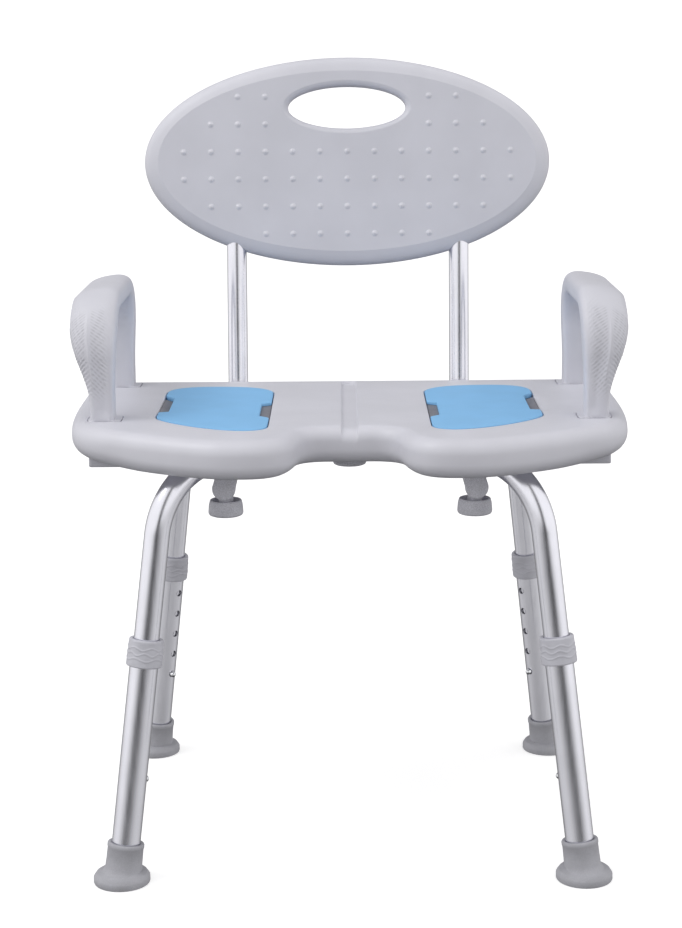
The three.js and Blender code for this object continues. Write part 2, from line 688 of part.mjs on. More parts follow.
/** The backrest lies on the back tubes' sloping plane: built flat in XZ about its centre. */
function backrest() {
  const T = BACKREST_HALF_T;
  const outer = (e, d) => ellipse(BACKREST_HALF_W - e, BACKREST_HALF_H - e, 48)
    .map((p) => new THREE.Vector3(p.x, d, p.y));
  const grip = (e, d) => ellipse(GRIP_HALF_W + e, GRIP_HALF_H + e, 48)
    .map((p) => new THREE.Vector3(p.x, d, p.y + GRIP_RISE));
  const rings = [
    outer(T + 1, -T), outer(5, -T * 0.75), outer(0, 0), outer(5, T * 0.75), outer(T + 1, T),
    grip(6, T), grip(1, T - 4), grip(1, 4 - T), grip(6, -T),
  ];
  const body = closed(meshOf(rings, ringFaces(rings, true)));
  const centreRise = (BACK_TOP_Z - BACKREST_Z) / Math.cos(BACK_LEAN) + GAP;
  const sockets = sides.map(({ x }) =>
    rod(BACK_R + GAP, -BACKREST_HALF_H - 10, centreRise, 16).translate(x * BACK_X, 0, 0));
  return cut(body, sockets);
}

function backrestPiece() {
  const mesh = add(stool, 'backrest', backrest(), seatPlastic);
  const y = BACK_CORNER_Y + (BACKREST_Z - BACK_RUN_Z) * Math.tan(BACK_LEAN);
  mesh.position.set(0, y, BACKREST_Z);
  mesh.rotation.x = -BACK_LEAN;
}

legFrame();
lowerLegs();
backFrame();
fasteners();
seatPieces();
armrests();
backrestPiece();

export default stool;
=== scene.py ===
import math

import bmesh
import bpy
import numpy as np
from mathutils import Matrix, Vector
from mathutils.geometry import delaunay_2d_cdt


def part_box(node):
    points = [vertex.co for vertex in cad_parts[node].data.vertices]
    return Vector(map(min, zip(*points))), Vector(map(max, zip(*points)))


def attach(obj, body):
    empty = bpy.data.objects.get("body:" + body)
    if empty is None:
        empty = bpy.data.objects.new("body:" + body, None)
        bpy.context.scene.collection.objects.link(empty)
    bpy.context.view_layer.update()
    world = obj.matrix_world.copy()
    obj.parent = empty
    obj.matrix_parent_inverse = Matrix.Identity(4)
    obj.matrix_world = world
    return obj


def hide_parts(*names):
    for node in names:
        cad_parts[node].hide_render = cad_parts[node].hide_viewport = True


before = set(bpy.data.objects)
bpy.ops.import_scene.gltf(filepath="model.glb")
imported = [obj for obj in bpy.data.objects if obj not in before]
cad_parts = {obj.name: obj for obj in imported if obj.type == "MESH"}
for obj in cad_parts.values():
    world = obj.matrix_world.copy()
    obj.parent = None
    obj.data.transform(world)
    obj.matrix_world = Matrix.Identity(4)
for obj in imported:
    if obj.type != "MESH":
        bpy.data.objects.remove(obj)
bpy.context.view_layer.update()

# Shapes are drawn in millimetres from the floor under the hub, where the two leg tubes cross.
MM = 0.001
hub_low, hub_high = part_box("knob_hub")
HUB = Vector(((hub_low.x + hub_high.x) / 2, (hub_low.y + hub_high.y) / 2, 0.0))
X, Y, Z = Vector((1, 0, 0)), Vector((0, 1, 0)), Vector((0, 0, 1))


def span(node):
    """The lowest and highest corners of a CAD node, in millimetres from the hub."""
    low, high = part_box(node)
    return (low - HUB) / MM, (high - HUB) / MM


def middle(node):
    low, high = span(node)
    return (low + high) / 2


# ---- sizes -----------------------------------------------------------------------------------
GAP = 0.3

FOOT_X, FOOT_Y = middle("foot_rear_right").xy
FOOT_REACH = math.hypot(FOOT_X, FOOT_Y)
LEG_AZIMUTH = math.atan2(FOOT_Y, FOOT_X)
LEG_LEAN = math.atan(0.152)
UPPER_R, UPPER_WALL = 12.6, 1.2
LOWER_R, LOWER_BORE_R = 14.2, 12.9
UPPER_END, LOWER_END, LOWER_TOP = 84, 8, 240
RUN_Z, BEND_R = 411, 76
BUTTON_Z, BUTTON_R, BUTTON_PROUD = 102.6, 3.2, 5
HOLE_R, HOLE_PITCH, HOLES = 3.65, 25, 5
HOLE_SIDES, HOLE_TWIST = 23, 0.07  # keep a hole's corners off the corners of the tube
FLANGE_R, FLANGE_H, CUP_R, CUP_TOP = 28, 11, 17.8, 40
COLLAR_BOTTOM, COLLAR_TOP = 217.3, 244
CRUSH_HALF_H, CRUSH_HALF_W, CRUSH_LENGTH, CRUSH_FLAT, CRUSH_STEP = 6, 16.3, 40, 21, 6.4

BACK_X = middle("back_tube_right").x
BACK_R, BACK_WALL = 11.1, 1.2
BACK_RUN_Z, BACK_CORNER_Y, BACK_BEND_R = 386.2, 176.9, 37
BACK_LEAN = math.atan(0.1255)
BACK_FRONT_Y, BACK_TOP_Z = -129, 690
PLUG_R, PLUG_TOP, PLUG_FACE = 11.6, 12, 6

seat_low, seat_high = span("seat")
SEAT_TOP, SEAT_BOTTOM = seat_high.z, seat_low.z
SEAT_HALF_W, SEAT_BACK = seat_high.x, seat_high.y
SEAT_EDGE = 15
SEAT_DISH = 2.2
GROOVE_HALF_W, GROOVE_DEPTH, GROOVE_END = 8.5, 3.4, 154

ARM_IN, ARM_WAIST, ARM_OUT_LOW, ARM_OUT_HIGH = 230, 6.5, 263.3, 280.3
ARM_FRONT_Y, ARM_REAR_Y = -68, 138
ARM_POST, ARM_HANDLE, ARM_CORNER_R = 30, 27, 52
ARM_SIDES = 200
ARM_SLOPE = 4.5  # the handle's top is this much lower at its outer edge
ARM_BOTTOM, ARM_TOP = span("armrest_right")[0].z, span("armrest_right")[1].z
ARM_AXIS_Z = ARM_TOP - ARM_HANDLE / 2
ARM_BEND_Z = ARM_AXIS_Z - ARM_CORNER_R

# The grip pattern on the armrests: rows of raised arrows on the bowed part of each post. The fourth number
# below is the strength of the painted shade laid in the furrows between the rows, and the last two lines
# bound where that painted shade lies.
CHEVRON_PITCH, CHEVRON_LIFT, CHEVRON_SLANT, CHEVRON_PAINTED_SHADE = 4.6, 0.42, 0.9, 0.2
CHEVRON_FOOT, CHEVRON_HEAD = (462, 482), (545, 568)
CHEVRON_INNER, CHEVRON_REACH, RIDGE_X = (241, 247), (18, 24), 261

BACKREST_AT = middle("backrest")
BACKREST_HALF_W, BACKREST_HALF_H, BACKREST_HALF_T = span("backrest")[1].x, 115.5, 15
HANDHOLE_HALF_W, HANDHOLE_HALF_H, HANDHOLE_RISE = 65.5, 23.3, 60
DOT_R, DOT_H, DOT_PITCH, DOT_TOP_ROW = 3.7, 1.7, 30.3, 71.4

INSERT_DEPTH, TRAY_T, INSERT_PROUD = 7.5, 2.4, 0.8
NOTCH_X, NOTCH_FRONT, NOTCH_REAR, NOTCH_RISE = 187, -29, 53, 2.9
KNOB_R, KNOB_H, HUB_KNOB_H, KNOB_BORE = 17.6, 22, 15.8, 3.3
KNOB_DROP, BOSS_R = 6, 7.4

CORNERS = {"front_left": (-1, -1), "front_right": (1, -1), "rear_right": (1, 1), "rear_left": (-1, 1)}
SIDES = {"left": -1, "right": 1}


# ---- small mathematics -----------------------------------------------------------------------
def lerp(a, b, share):
    return a + (b - a) * share


def smooth(value, start, end):
    """0 before start, 1 after end, with a soft turn between them."""
    share = min(1.0, max(0.0, (value - start) / (end - start)))
    return share * share * (3 - 2 * share)


def along_leg(z):
    return z / math.cos(LEG_LEAN)


def bezier(a, b, c, d, steps):
    """Points of a cubic curve, without its first."""
    found = []
    for i in range(1, steps + 1):
        t = i / steps
        weights = ((1 - t) ** 3, 3 * t * (1 - t) ** 2, 3 * t * t * (1 - t), t**3)
        found.append(tuple(sum(w * p[k] for w, p in zip(weights, (a, b, c, d))) for k in (0, 1)))
    return found


def straight(a, b, pitch):
    """Points of a straight stretch, without its first."""
    steps = max(1, round(math.dist(a, b) / pitch))
    return [(lerp(a[0], b[0], i / steps), lerp(a[1], b[1], i / steps)) for i in range(1, steps + 1)]


def outline_of(start, *stretches, pitch=5, steps=14):
    """A path from start through stretches: one point for a line, three for a curve."""
    points = [start]
    for stretch in stretches:
        if len(stretch) == 1:
            points += straight(points[-1], stretch[0], pitch)
        else:
            points += bezier(points[-1], *stretch, steps)
    return points


def offset(points, distance):
    """An anticlockwise outline moved inwards by a distance, or by one distance for each point."""
    distances = distance if isinstance(distance, list) else [distance] * len(points)
    moved = []
    for i, p in enumerate(points):
        here = Vector(p)
        a = (here - Vector(points[i - 1])).normalized()
        b = (Vector(points[(i + 1) % len(points)]) - here).normalized()
        normal = Vector((-a.y - b.y, a.x + b.x)).normalized()
        reach = distances[i] / max(0.5, normal.dot(Vector((-a.y, a.x))))
        moved.append(tuple(here + normal * reach))
    return moved


def anticlockwise(points):
    area = sum(a[0] * b[1] - b[0] * a[1] for a, b in zip(points, points[1:] + points[:1]))
    return points if area > 0 else points[::-1]


def rounded_box(x0, x1, y0, y1, radius, pitch=4):
    """An anticlockwise rectangle with round corners."""
    points = []
    for cx, cy, turn in ((x1, y1, 0), (x0, y1, 90), (x0, y0, 180), (x1, y0, 270)):
        x = cx - math.copysign(radius, cx - (x0 + x1) / 2)
        y = cy - math.copysign(radius, cy - (y0 + y1) / 2)
        for step in range(7):
            angle = math.radians(turn + 15 * step)
            points.append((x + radius * math.cos(angle), y + radius * math.sin(angle)))
    closed = []
    for a, b in zip(points, points[1:] + points[:1]):
        closed += straight(a, b, pitch)
    return closed


def ellipse(half_x, half_y, sides):
    angles = [2 * math.pi * i / sides for i in range(sides)]
    return [(half_x * math.cos(a), half_y * math.sin(a)) for a in angles]


def quarter(radius, steps):
    """(inset, drop) pairs of a rounded edge, from the flat top to the side."""
    angles = [math.pi / 2 * i / steps for i in range(steps + 1)]
    return [(radius * (1 - math.sin(a)), radius * (1 - math.cos(a))) for a in angles]


def inside(points, loop):
    """Which of an array of points lie inside a closed loop."""
    x, y = points[:, 0], points[:, 1]
    found = np.zeros(len(points), bool)
    for (x0, y0), (x1, y1) in zip(loop, np.roll(loop, -1, 0)):
        if y0 != y1:
            found ^= ((y0 > y) != (y1 > y)) & (x < (x1 - x0) * (y - y0) / (y1 - y0) + x0)
    return found


def between(points, loops):
    """Which points lie inside the first loop and outside all the others."""
    found = inside(points, loops[0])
    for hole in loops[1:]:
        found &= ~inside(points, hole)
    return found


def nearest(points, others):
    """The distance from each point to the nearest of the others."""
    return np.sqrt(((points[:, None, :] - others[None, :, :]) ** 2).sum(2)).min(1)


# ---- mesh building ---------------------------------------------------------------------------
class Shape:
    """One piece under construction; points that meet become one when it is built."""

    def __init__(self):
        self.bm = bmesh.new()

    def rings(self, rings, wrap=False):
        """Quads between rings of equal size, in order; with wrap the last ring meets the first."""
        loops = [[self.bm.verts.new(p) for p in ring] for ring in rings]
        pairs = list(zip(loops, loops[1:])) + ([(loops[-1], loops[0])] if wrap else [])
        for a, b in pairs:
            for i in range(len(a)):
                j = (i + 1) % len(a)
                self.bm.faces.new((a[i], a[j], b[j], b[i]))
        return self

    def fill(self, ring):
        """One flat face over a ring."""
        self.bm.faces.new([self.bm.verts.new(p) for p in ring])
        return self

    def sheet(self, outline, holes, spacing, place, extra=()):
        """Triangles over a flat outline and round its holes; place puts each flat point in space."""
        loops = [np.array(loop, float) for loop in (outline, *holes)]
        border = np.concatenate(loops)
        low, high = border.min(0), border.max(0)
        grid = np.array([(x, y) for x in np.arange(low[0] + spacing / 2, high[0], spacing)
                         for y in np.arange(low[1] + spacing / 2, high[1], spacing)])
        grid = grid[nearest(grid, border) > 0.55 * spacing]
        if len(extra):
            extra = np.array(extra, float)
            extra = extra[nearest(extra, border) > 0.8]
            grid = np.concatenate([grid[nearest(grid, extra) > 0.5 * spacing], extra])
        points = [Vector(p) for p in np.concatenate([border, grid[between(grid, loops)]])]
        edges, start = [], 0
        for loop in loops:
            size = len(loop)
            edges += [(start + i, start + (i + 1) % size) for i in range(size)]
            start += size
        flat, _, faces, *_ = delaunay_2d_cdt(points, edges, [], 0, 1e-6)
        centres = np.array([sum((flat[i] for i in f), Vector((0, 0))) / len(f) for f in faces])
        verts = [self.bm.verts.new(place(p.x, p.y)) for p in flat]
        for face, wanted in zip(faces, between(centres, loops)):
            if wanted:
                self.bm.faces.new([verts[i] for i in face])
        bmesh.ops.delete(self.bm, geom=[v for v in verts if not v.link_faces], context="VERTS")
        return self

    def mesh(self, name, matrix=None):
        """The finished mesh in metres, in the row frame."""
        bm = self.bm
        bmesh.ops.remove_doubles(bm, verts=bm.verts, dist=0.005)
        bmesh.ops.dissolve_degenerate(bm, edges=bm.edges, dist=0.002)
        bmesh.ops.recalc_face_normals(bm, faces=bm.faces)
        place = Matrix.Translation(HUB) @ Matrix.Scale(MM, 4)
        bm.transform(place @ matrix if matrix else place)
        if bm.calc_volume(signed=True) < 0:
            bmesh.ops.reverse_faces(bm, faces=bm.faces)
        mesh = bpy.data.meshes.new(name)
        bm.to_mesh(mesh)
        bm.free()
        return mesh


def object_of(mesh):
    obj = bpy.data.objects.new(mesh.name, mesh)
    bpy.context.scene.collection.objects.link(obj)
    return obj


def carve(obj, tools):
    """Cuts tool objects out of obj and removes them."""
    for tool in tools:
        cutter = obj.modifiers.new(tool.name, "BOOLEAN")
        cutter.operation, cutter.solver, cutter.object = "DIFFERENCE", "EXACT", tool
    bpy.context.view_layer.update()
    evaluated = obj.evaluated_get(bpy.context.evaluated_depsgraph_get())
    carved = bpy.data.meshes.new_from_object(evaluated)
    obj.modifiers.clear()
    obj.data = carved
    for tool in tools:
        bpy.data.objects.remove(tool)


def piece(shape, node, body, material, matrix=None, tools=(), sharp=40):
    """Builds a shape, which stands for a CAD node and rides on its body."""
    obj = object_of(shape.mesh(node + "_skin", matrix))
    if tools:
        carve(obj, tools)
    obj.data.name = obj.name
    obj.data.materials.clear()
    obj.data.materials.append(material)
    obj.data.shade_smooth()
    obj.data.set_sharp_from_angle(angle=math.radians(sharp))
    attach(obj, body)
    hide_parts(node)
    return obj


def tool(name, shape, matrix=None):
    return object_of(shape.mesh(name, matrix))


def ring_at(station, outline):
    """A ring across a path: an outline's x runs along across x tangent, and its y along across."""
    centre, tangent, across = station
    normal = across.cross(tangent)
    return [centre + normal * x + across * y for x, y in outline]


def arc(start, along, towards, radius, angle, steps, across):
    """Stations of a bend that turns from one direction towards another."""
    stations = []
    for i in range(steps + 1):
        turn = angle * i / steps
        centre = start + along * (radius * math.sin(turn)) + towards * (radius * (1 - math.cos(turn)))
        stations.append((centre, along * math.cos(turn) + towards * math.sin(turn), across))
    return stations


def tube(stations, section):
    """A tube wall; section gives a station's outline for the outside (0) and the inside (1)."""
    outer = [ring_at(s, section(i, 0)) for i, s in enumerate(stations)]
    inner = [ring_at(s, section(i, 1)) for i, s in enumerate(stations)]
    return Shape().rings(outer + inner[::-1], wrap=True)


def turned(profile, sides, ripple=None):
    """A closed turned piece about Z; ripple adds to the radius at an angle and a height."""
    rings = []
    for r, z in profile:
        ring = []
        for i in range(sides):
            angle = 2 * math.pi * i / sides
            reach = r + (ripple(angle, z) if ripple else 0)
            ring.append(Vector((reach * math.cos(angle), reach * math.sin(angle), z)))
        rings.append(ring)
    return rings


def lathe(profile, sides=64):
    """A turned piece whose profile starts and ends on the axis."""
    rings = turned(profile[1:-1], sides)
    shape = Shape().rings(rings)
    for (_, z), ring in ((profile[0], rings[0]), (profile[-1], rings[-1])):
        shape.rings([ring, [Vector((0, 0, z))] * sides])
    return shape


def rod(radius, z0, z1, sides=32):
    return lathe([(0, z0), (radius, z0), (radius, z1), (0, z1)], sides)


# ---- materials -------------------------------------------------------------------------------
def linear(*values):
    """A colour given in screen values from 0 to 255."""
    scaled = [v / 255 for v in values]
    return [v / 12.92 if v <= 0.04045 else ((v + 0.055) / 1.055) ** 2.4 for v in scaled] + [1.0]


def noise(tree, size, detail, stretch):
    """A noise texture whose features are about size millimetres across."""
    nodes, links = tree.nodes, tree.links
    place = nodes.new("ShaderNodeTexCoord")
    mapping = nodes.new("ShaderNodeMapping")
    mapping.inputs["Scale"].default_value = stretch
    texture = nodes.new("ShaderNodeTexNoise")
    texture.inputs["Scale"].default_value = 1 / (size * MM)
    texture.inputs["Detail"].default_value = detail
    links.new(place.outputs["Object"], mapping.inputs["Vector"])
    links.new(mapping.outputs["Vector"], texture.inputs["Vector"])
    return texture.outputs["Fac"]


def two_tone(tree, value, *stops):
    """A value turned into a colour between two (position, colour) stops."""
    ramp = tree.nodes.new("ShaderNodeValToRGB")
    for element, (position, colour) in zip(ramp.color_ramp.elements, stops):
        element.position, element.color = position, colour
    tree.links.new(value, ramp.inputs["Fac"])
    return ramp.outputs["Color"]


def arithmetic(tree):
    """Two functions that add nodes to a tree: a calculation, and a soft ramp between two levels."""
    def put(socket, value):
        if isinstance(value, (int, float)):
            socket.default_value = value
        else:
            tree.links.new(value, socket)

    def calc(operation, *values):
        node = tree.nodes.new("ShaderNodeMath")
        node.operation = operation
        for socket, value in zip(node.inputs, values):
            put(socket, value)
        return node.outputs[0]

    def ramp(value, start, end, low=0.0, high=1.0):
        node = tree.nodes.new("ShaderNodeMapRange")
        node.interpolation_type = "SMOOTHSTEP"
        put(node.inputs["Value"], value)
        for key, number in zip(("From Min", "From Max", "To Min", "To Max"), (start, end, low, high)):
            put(node.inputs[key], number)
        return node.outputs["Result"]

    return calc, ramp


def coordinates(tree, kind):
    """The three values of a texture coordinate."""
    place = tree.nodes.new("ShaderNodeTexCoord")
    split = tree.nodes.new("ShaderNodeSeparateXYZ")
    tree.links.new(place.outputs[kind], split.inputs[0])
    return split.outputs


def material(name, colour, roughness, metallic=0.0, shade=0.06, patch=45, grain=0.5, relief=0.02,
             stretch=(1, 1, 1), speckle=0.0, speckle_size=0.7, spread=0.08):
    """A finish: soft patches of shade, a fine grain in its relief and gloss, and speckles if asked."""
    made = bpy.data.materials.new(name)
    made.use_nodes = True
    tree = made.node_tree
    nodes, links = tree.nodes, tree.links
    shader = nodes["Principled BSDF"]
    shader.inputs["Metallic"].default_value = metallic
    dark = [c * (1 - shade) for c in colour[:3]] + [1]
    light = [min(1, c * (1 + shade)) for c in colour[:3]] + [1]
    tint = two_tone(tree, noise(tree, patch, 3, (1, 1, 1)), (0.35, dark), (0.65, light))
    fine = noise(tree, grain, 4, stretch)
    if speckle:
        dull, bright = [1 - speckle] * 3 + [1], [1 + speckle] * 3 + [1]
        flecks = two_tone(tree, noise(tree, speckle_size, 2, (1, 1, 1)), (0.38, dull), (0.62, bright))
        mix = nodes.new("ShaderNodeMix")
        mix.data_type, mix.blend_type = "RGBA", "MULTIPLY"
        mix.inputs["Factor"].default_value = 1
        links.new(tint, mix.inputs["A"])
        links.new(flecks, mix.inputs["B"])
        tint = mix.outputs["Result"]
    links.new(tint, shader.inputs["Base Color"])
    gloss = nodes.new("ShaderNodeMapRange")
    gloss.inputs["From Min"].default_value, gloss.inputs["From Max"].default_value = 0.3, 0.7
    gloss.inputs["To Min"].default_value = max(0.02, roughness - spread)
    gloss.inputs["To Max"].default_value = roughness + spread
    links.new(fine, gloss.inputs["Value"])
    links.new(gloss.outputs["Result"], shader.inputs["Roughness"])
    bump = nodes.new("ShaderNodeBump")
    bump.inputs["Strength"].default_value = 1
    bump.inputs["Distance"].default_value = relief * MM
    links.new(fine, bump.inputs["Height"])
    links.new(bump.outputs["Normal"], shader.inputs["Normal"])
    return made


def paint_chevron_furrow_shade(finish):
    """Paints shade into the furrows of the grip pattern on the outer side of the armrests' posts: the base
    colour is darkened there, standing in for the shade that the soft light leaves too faint.
    """
    tree = finish.node_tree
    nodes, links = tree.nodes, tree.links
    calc, ramp = arithmetic(tree)
    x, y, z = coordinates(tree, "Object")

    def distance(value, level):
        return calc("ABSOLUTE", calc("SUBTRACT", value, level))

    def wave(value, pitch):
        return calc("SINE", calc("MULTIPLY", value, 2 * math.pi / (pitch * MM)))

    aside = distance(x, HUB.x)
    ridge = distance(aside, RIDGE_X * MM)
    ends = [HUB.y + (ARM_FRONT_Y - ARM_POST / 2) * MM, HUB.y + (ARM_REAR_Y + ARM_POST / 2) * MM]
    forward = calc("MINIMUM", *[distance(y, end) for end in ends])
    slant = calc("MULTIPLY", calc("ADD", ridge, forward), CHEVRON_SLANT)
    rows = wave(calc("ADD", z, slant), CHEVRON_PITCH)
    breaks = wave(calc("SUBTRACT", z, slant), 1.6 * CHEVRON_PITCH)
    furrow_shade = calc("MULTIPLY", ramp(rows, -0.6, 0.7), calc("ADD", 0.7, calc("MULTIPLY", breaks, 0.3)))
    foot_low, foot_high = (level * MM for level in CHEVRON_FOOT)
    head_low, head_high = (level * MM for level in CHEVRON_HEAD)
    inner, outer = (level * MM for level in CHEVRON_INNER)
    near, far = (level * MM for level in CHEVRON_REACH)
    window = calc("MULTIPLY", ramp(z, foot_low, foot_high), ramp(z, head_high, head_low))
    outside = calc("MULTIPLY", ramp(aside, inner, outer), ramp(forward, far, near))
    clear = calc("MULTIPLY", calc("MULTIPLY", window, outside), ramp(ridge, 1.5 * MM, 4.5 * MM))
    # Painted shade: the base colour is scaled down along the furrows inside the masked window.
    level = calc("SUBTRACT", 1.0, calc("MULTIPLY", calc("MULTIPLY", furrow_shade, clear), CHEVRON_PAINTED_SHADE))
    mix = nodes.new("ShaderNodeVectorMath")
    mix.operation = "SCALE"
    base = nodes["Principled BSDF"].inputs["Base Color"]
    links.new(base.links[0].from_socket, mix.inputs[0])
    links.new(level, mix.inputs["Scale"])
    links.new(mix.outputs[0], base)


seat_finish = material("seat_plastic", linear(209, 209, 217), 0.42, shade=0.025, patch=60, grain=0.9)
arm_finish = material("arm_plastic", linear(207, 207, 215), 0.45, shade=0.025, patch=50, grain=0.9,
                      relief=0.025)
# Painted shade in the grip furrows, laid into the armrests' colour.
paint_chevron_furrow_shade(arm_finish)
tube_finish = material("aluminium", linear(229, 229, 236), 0.24, metallic=1, shade=0.02, patch=30, grain=3,
                       relief=0.0, stretch=(1, 1, 0.05), spread=0.03)
steel_finish = material("steel", linear(226, 227, 230), 0.14, metallic=1, shade=0.04, patch=6, grain=0.4,
                        relief=0.003, spread=0.05)
collar_finish = material("collar_plastic", linear(196, 196, 204), 0.48, shade=0.05, patch=12, grain=0.5,
                         relief=0.03)
plug_finish = material("grey_plastic", linear(202, 202, 210), 0.5, shade=0.05, patch=14, grain=0.6,
                       relief=0.05, speckle=0.14, speckle_size=0.9)
foot_finish = material("foot_rubber", linear(168, 168, 174), 0.68, shade=0.05, patch=16, grain=0.7,
                       relief=0.07, speckle=0.06, speckle_size=0.8)
foam_finish = material("insert_foam", linear(131, 188, 233), 0.62, shade=0.02, patch=40, grain=0.6,
                       relief=0.06, spread=0.05)
# Painted shade: this dark finish is laid on the sleeves inside the leg holes and on the trays seen in the
# finger notches, standing in for the shade there.
painted_shade_finish = material("dark_plastic", linear(122, 122, 130), 0.55, patch=14, grain=0.6, relief=0.05,
                       speckle=0.08)


# ---- leg frame -------------------------------------------------------------------------------
def leg_half():
    """Half of a leg tube in its own upright plane, from its lower end at +X to the hub."""
    up = Vector((-math.sin(LEG_LEAN), 0, math.cos(LEG_LEAN)))
    inwards = Vector((-math.cos(LEG_LEAN), 0, -math.sin(LEG_LEAN)))
    bend_z = RUN_Z - BEND_R * (1 - math.sin(LEG_LEAN))

    def on_leg(z):
        return Vector((FOOT_REACH - z * math.tan(LEG_LEAN), 0, z))

    post = [(on_leg(z), up, Y) for z in (UPPER_END, 150, 220, 290)]
    return post + arc(on_leg(bend_z), up, inwards, BEND_R, math.pi / 2 - LEG_LEAN, 24, Y)


def cross_tube(step):
    """One bent tube with two legs, crushed at the hub; step is +1 above the other tube, -1 below."""
    half = leg_half()
    shares = [smooth(i, 0, 8) for i in range(9)]
    crush = [(lerp(CRUSH_LENGTH, CRUSH_FLAT, i / 8), share) for i, share in enumerate(shares)]
    crush += [(-x, share) for x, share in reversed(crush)]
    flat = [(Vector((x, 0, RUN_Z + step * CRUSH_STEP * share)), -X, Y) for x, share in crush]
    mirrored = [(Vector((-c.x, 0, c.z)), Vector((t.x, 0, -t.z)), Y) for c, t, _ in reversed(half)]
    stations = half + flat + mirrored
    share_at = [0] * len(half) + [share for _, share in crush] + [0] * len(half)

    def section(i, inner):
        wall = UPPER_WALL * inner
        high = lerp(UPPER_R, CRUSH_HALF_H, share_at[i]) - wall
        wide = lerp(UPPER_R, CRUSH_HALF_W, share_at[i]) - wall
        return ellipse(high, wide, 48)

    return tube(stations, section)


for name, turn, step in (("cross_tube_a", LEG_AZIMUTH, 1), ("cross_tube_b", -LEG_AZIMUTH, -1)):
    piece(cross_tube(step), name, "frame", tube_finish, Matrix.Rotation(turn, 4, "Z"))


# ---- lower legs: drawn upright at the origin, leaning towards +X once placed --------------------
def lower_leg():
    z0, z1 = along_leg(LOWER_END), along_leg(LOWER_TOP)
    profile = [
        (LOWER_R - 0.4, z0), (LOWER_R, z0 + 0.4), (LOWER_R, lerp(z0, z1, 0.5)), (LOWER_R, z1 - 0.4),
        (LOWER_R - 0.4, z1), (LOWER_BORE_R, z1), (LOWER_BORE_R, z0),
    ]
    return Shape().rings(turned(profile, 64), wrap=True)


def hole_place(i):
    """Where hole i is, counted upwards, with its own axis along Z."""
    rise = Matrix.Translation((0, 0, along_leg(BUTTON_Z) + i * HOLE_PITCH))
    return rise @ Matrix.Rotation(math.pi / 2, 4, "Y") @ Matrix.Rotation(HOLE_TWIST, 4, "Z")


def hole_tools(name, matrix):
    """Cutters for the holes through the wall that faces the hub."""
    start, end, bevel = 5, 17, 0.7
    profile = [(0, start), (HOLE_R, start), (HOLE_R, LOWER_R - 0.3), (HOLE_R + bevel, LOWER_R + 0.4),
               (HOLE_R + bevel, end), (0, end)]
    return [tool(f"{name}_{i}", lathe(profile, HOLE_SIDES), matrix @ hole_place(i)) for i in range(HOLES)]


def hole_shadows():
    """Painted shade: dark sleeves inside the holes, round the snap button that passes through them,
    standing in for the shade on the holes' unlit walls.
    """
    shape = Shape()
    inner, outer, deep = BUTTON_R + 0.12, HOLE_R + 0.1, LOWER_BORE_R + 0.06
    profile = [(inner, LOWER_R - 0.5), (outer, LOWER_R - 0.1), (outer, deep), (inner, deep)]
    for i in range(HOLES):
        rings = turned(profile, HOLE_SIDES)
        shape.rings([[hole_place(i) @ p for p in ring] for ring in rings], wrap=True)
    return shape


def collar():
    """A grip ring with three wavy raised bands."""
    grip, lip = LOWER_R + GAP, UPPER_R + GAP + 0.2
    z0, z1 = along_leg(COLLAR_BOTTOM), along_leg(COLLAR_TOP)
    stop = along_leg(LOWER_TOP) + GAP
    steps = 44
    wall = [(lerp(CUP_R, 17.1, i / steps), lerp(z0 + 1.2, z1 - 1.6, i / steps)) for i in range(steps + 1)]
    profile = [(grip, z0), (CUP_R - 0.7, z0), (CUP_R - 0.2, z0 + 0.4), *wall, (16.8, z1 - 0.5), (16.2, z1),
               (lip + 0.4, z1), (lip, z1 - 0.5), (lip, stop), (grip, stop)]

    def ripple(angle, z):
        if not z0 + 2 < z < z1 - 2.5:
            return 0
        raised = 0
        for band, pace in ((0.3, 5), (0.5, 7), (0.7, 6)):
            line = lerp(z0, z1, band) + 1.3 * math.sin(pace * angle + 9 * band)
            raised += 0.42 * math.exp(-(((z - line) / 0.75) ** 2))
        return raised

    return Shape().rings(turned(profile, 160, ripple), wrap=True)


def foot():
    """A flat flange that turns into a leaning cup, with the leg's socket in it."""
    top, bore = along_leg(CUP_TOP), LOWER_R + GAP
    profile = [
        (0, 0), (FLANGE_R - 1.6, 0), (FLANGE_R - 0.5, 0.4), (FLANGE_R, 1.5), (FLANGE_R, 6.2),
        (FLANGE_R - 0.5, 7.2), (25.6, FLANGE_H - 1), (24.8, FLANGE_H - 0.4), (CUP_R + 3, FLANGE_H + 0.4),
        (CUP_R + 1.6, FLANGE_H + 1), (CUP_R + 0.8, FLANGE_H + 2.2), (CUP_R + 0.5, FLANGE_H + 5),
        (CUP_R + 0.2, FLANGE_H + 12), (CUP_R, top - 5), (CUP_R + 0.5, top - 4.2),
        (CUP_R + 0.5, top - 1.2), (CUP_R - 0.1, top - 0.3), (CUP_R - 0.9, top),
        (bore + 0.8, top), (bore + 0.1, top - 0.6), (bore, top - 2), (bore, along_leg(LOWER_END) - GAP),
        (0, along_leg(LOWER_END) - GAP),
    ]
    rings = []
    for r, z in profile:
        if r <= bore and z > 1:
            lean = LEG_LEAN
        elif z > FLANGE_H + 1:
            lean = LEG_LEAN * smooth(z, FLANGE_H - 1, FLANGE_H + 3)
        else:
            lean = 0
        tilt, reach = Matrix.Rotation(lean, 4, "Y"), max(r, 1e-3)
        rings.append([tilt @ Vector((x, y, z)) for x, y in ellipse(reach, reach, 72)])
    return Shape().rings(rings)


def button():
    tip = LOWER_R + BUTTON_PROUD
    dome = [(BUTTON_R * math.cos(a), tip - 2.6 + 2.6 * math.sin(a)) for a in (0, 0.3, 0.6, 0.9, 1.2, 1.45)]
    flange = BUTTON_R + 0.9
    return lathe([(0, 9.6), (flange, 9.6), (flange, 10.2), (BUTTON_R, 10.2), *dome, (0, tip)], 32)


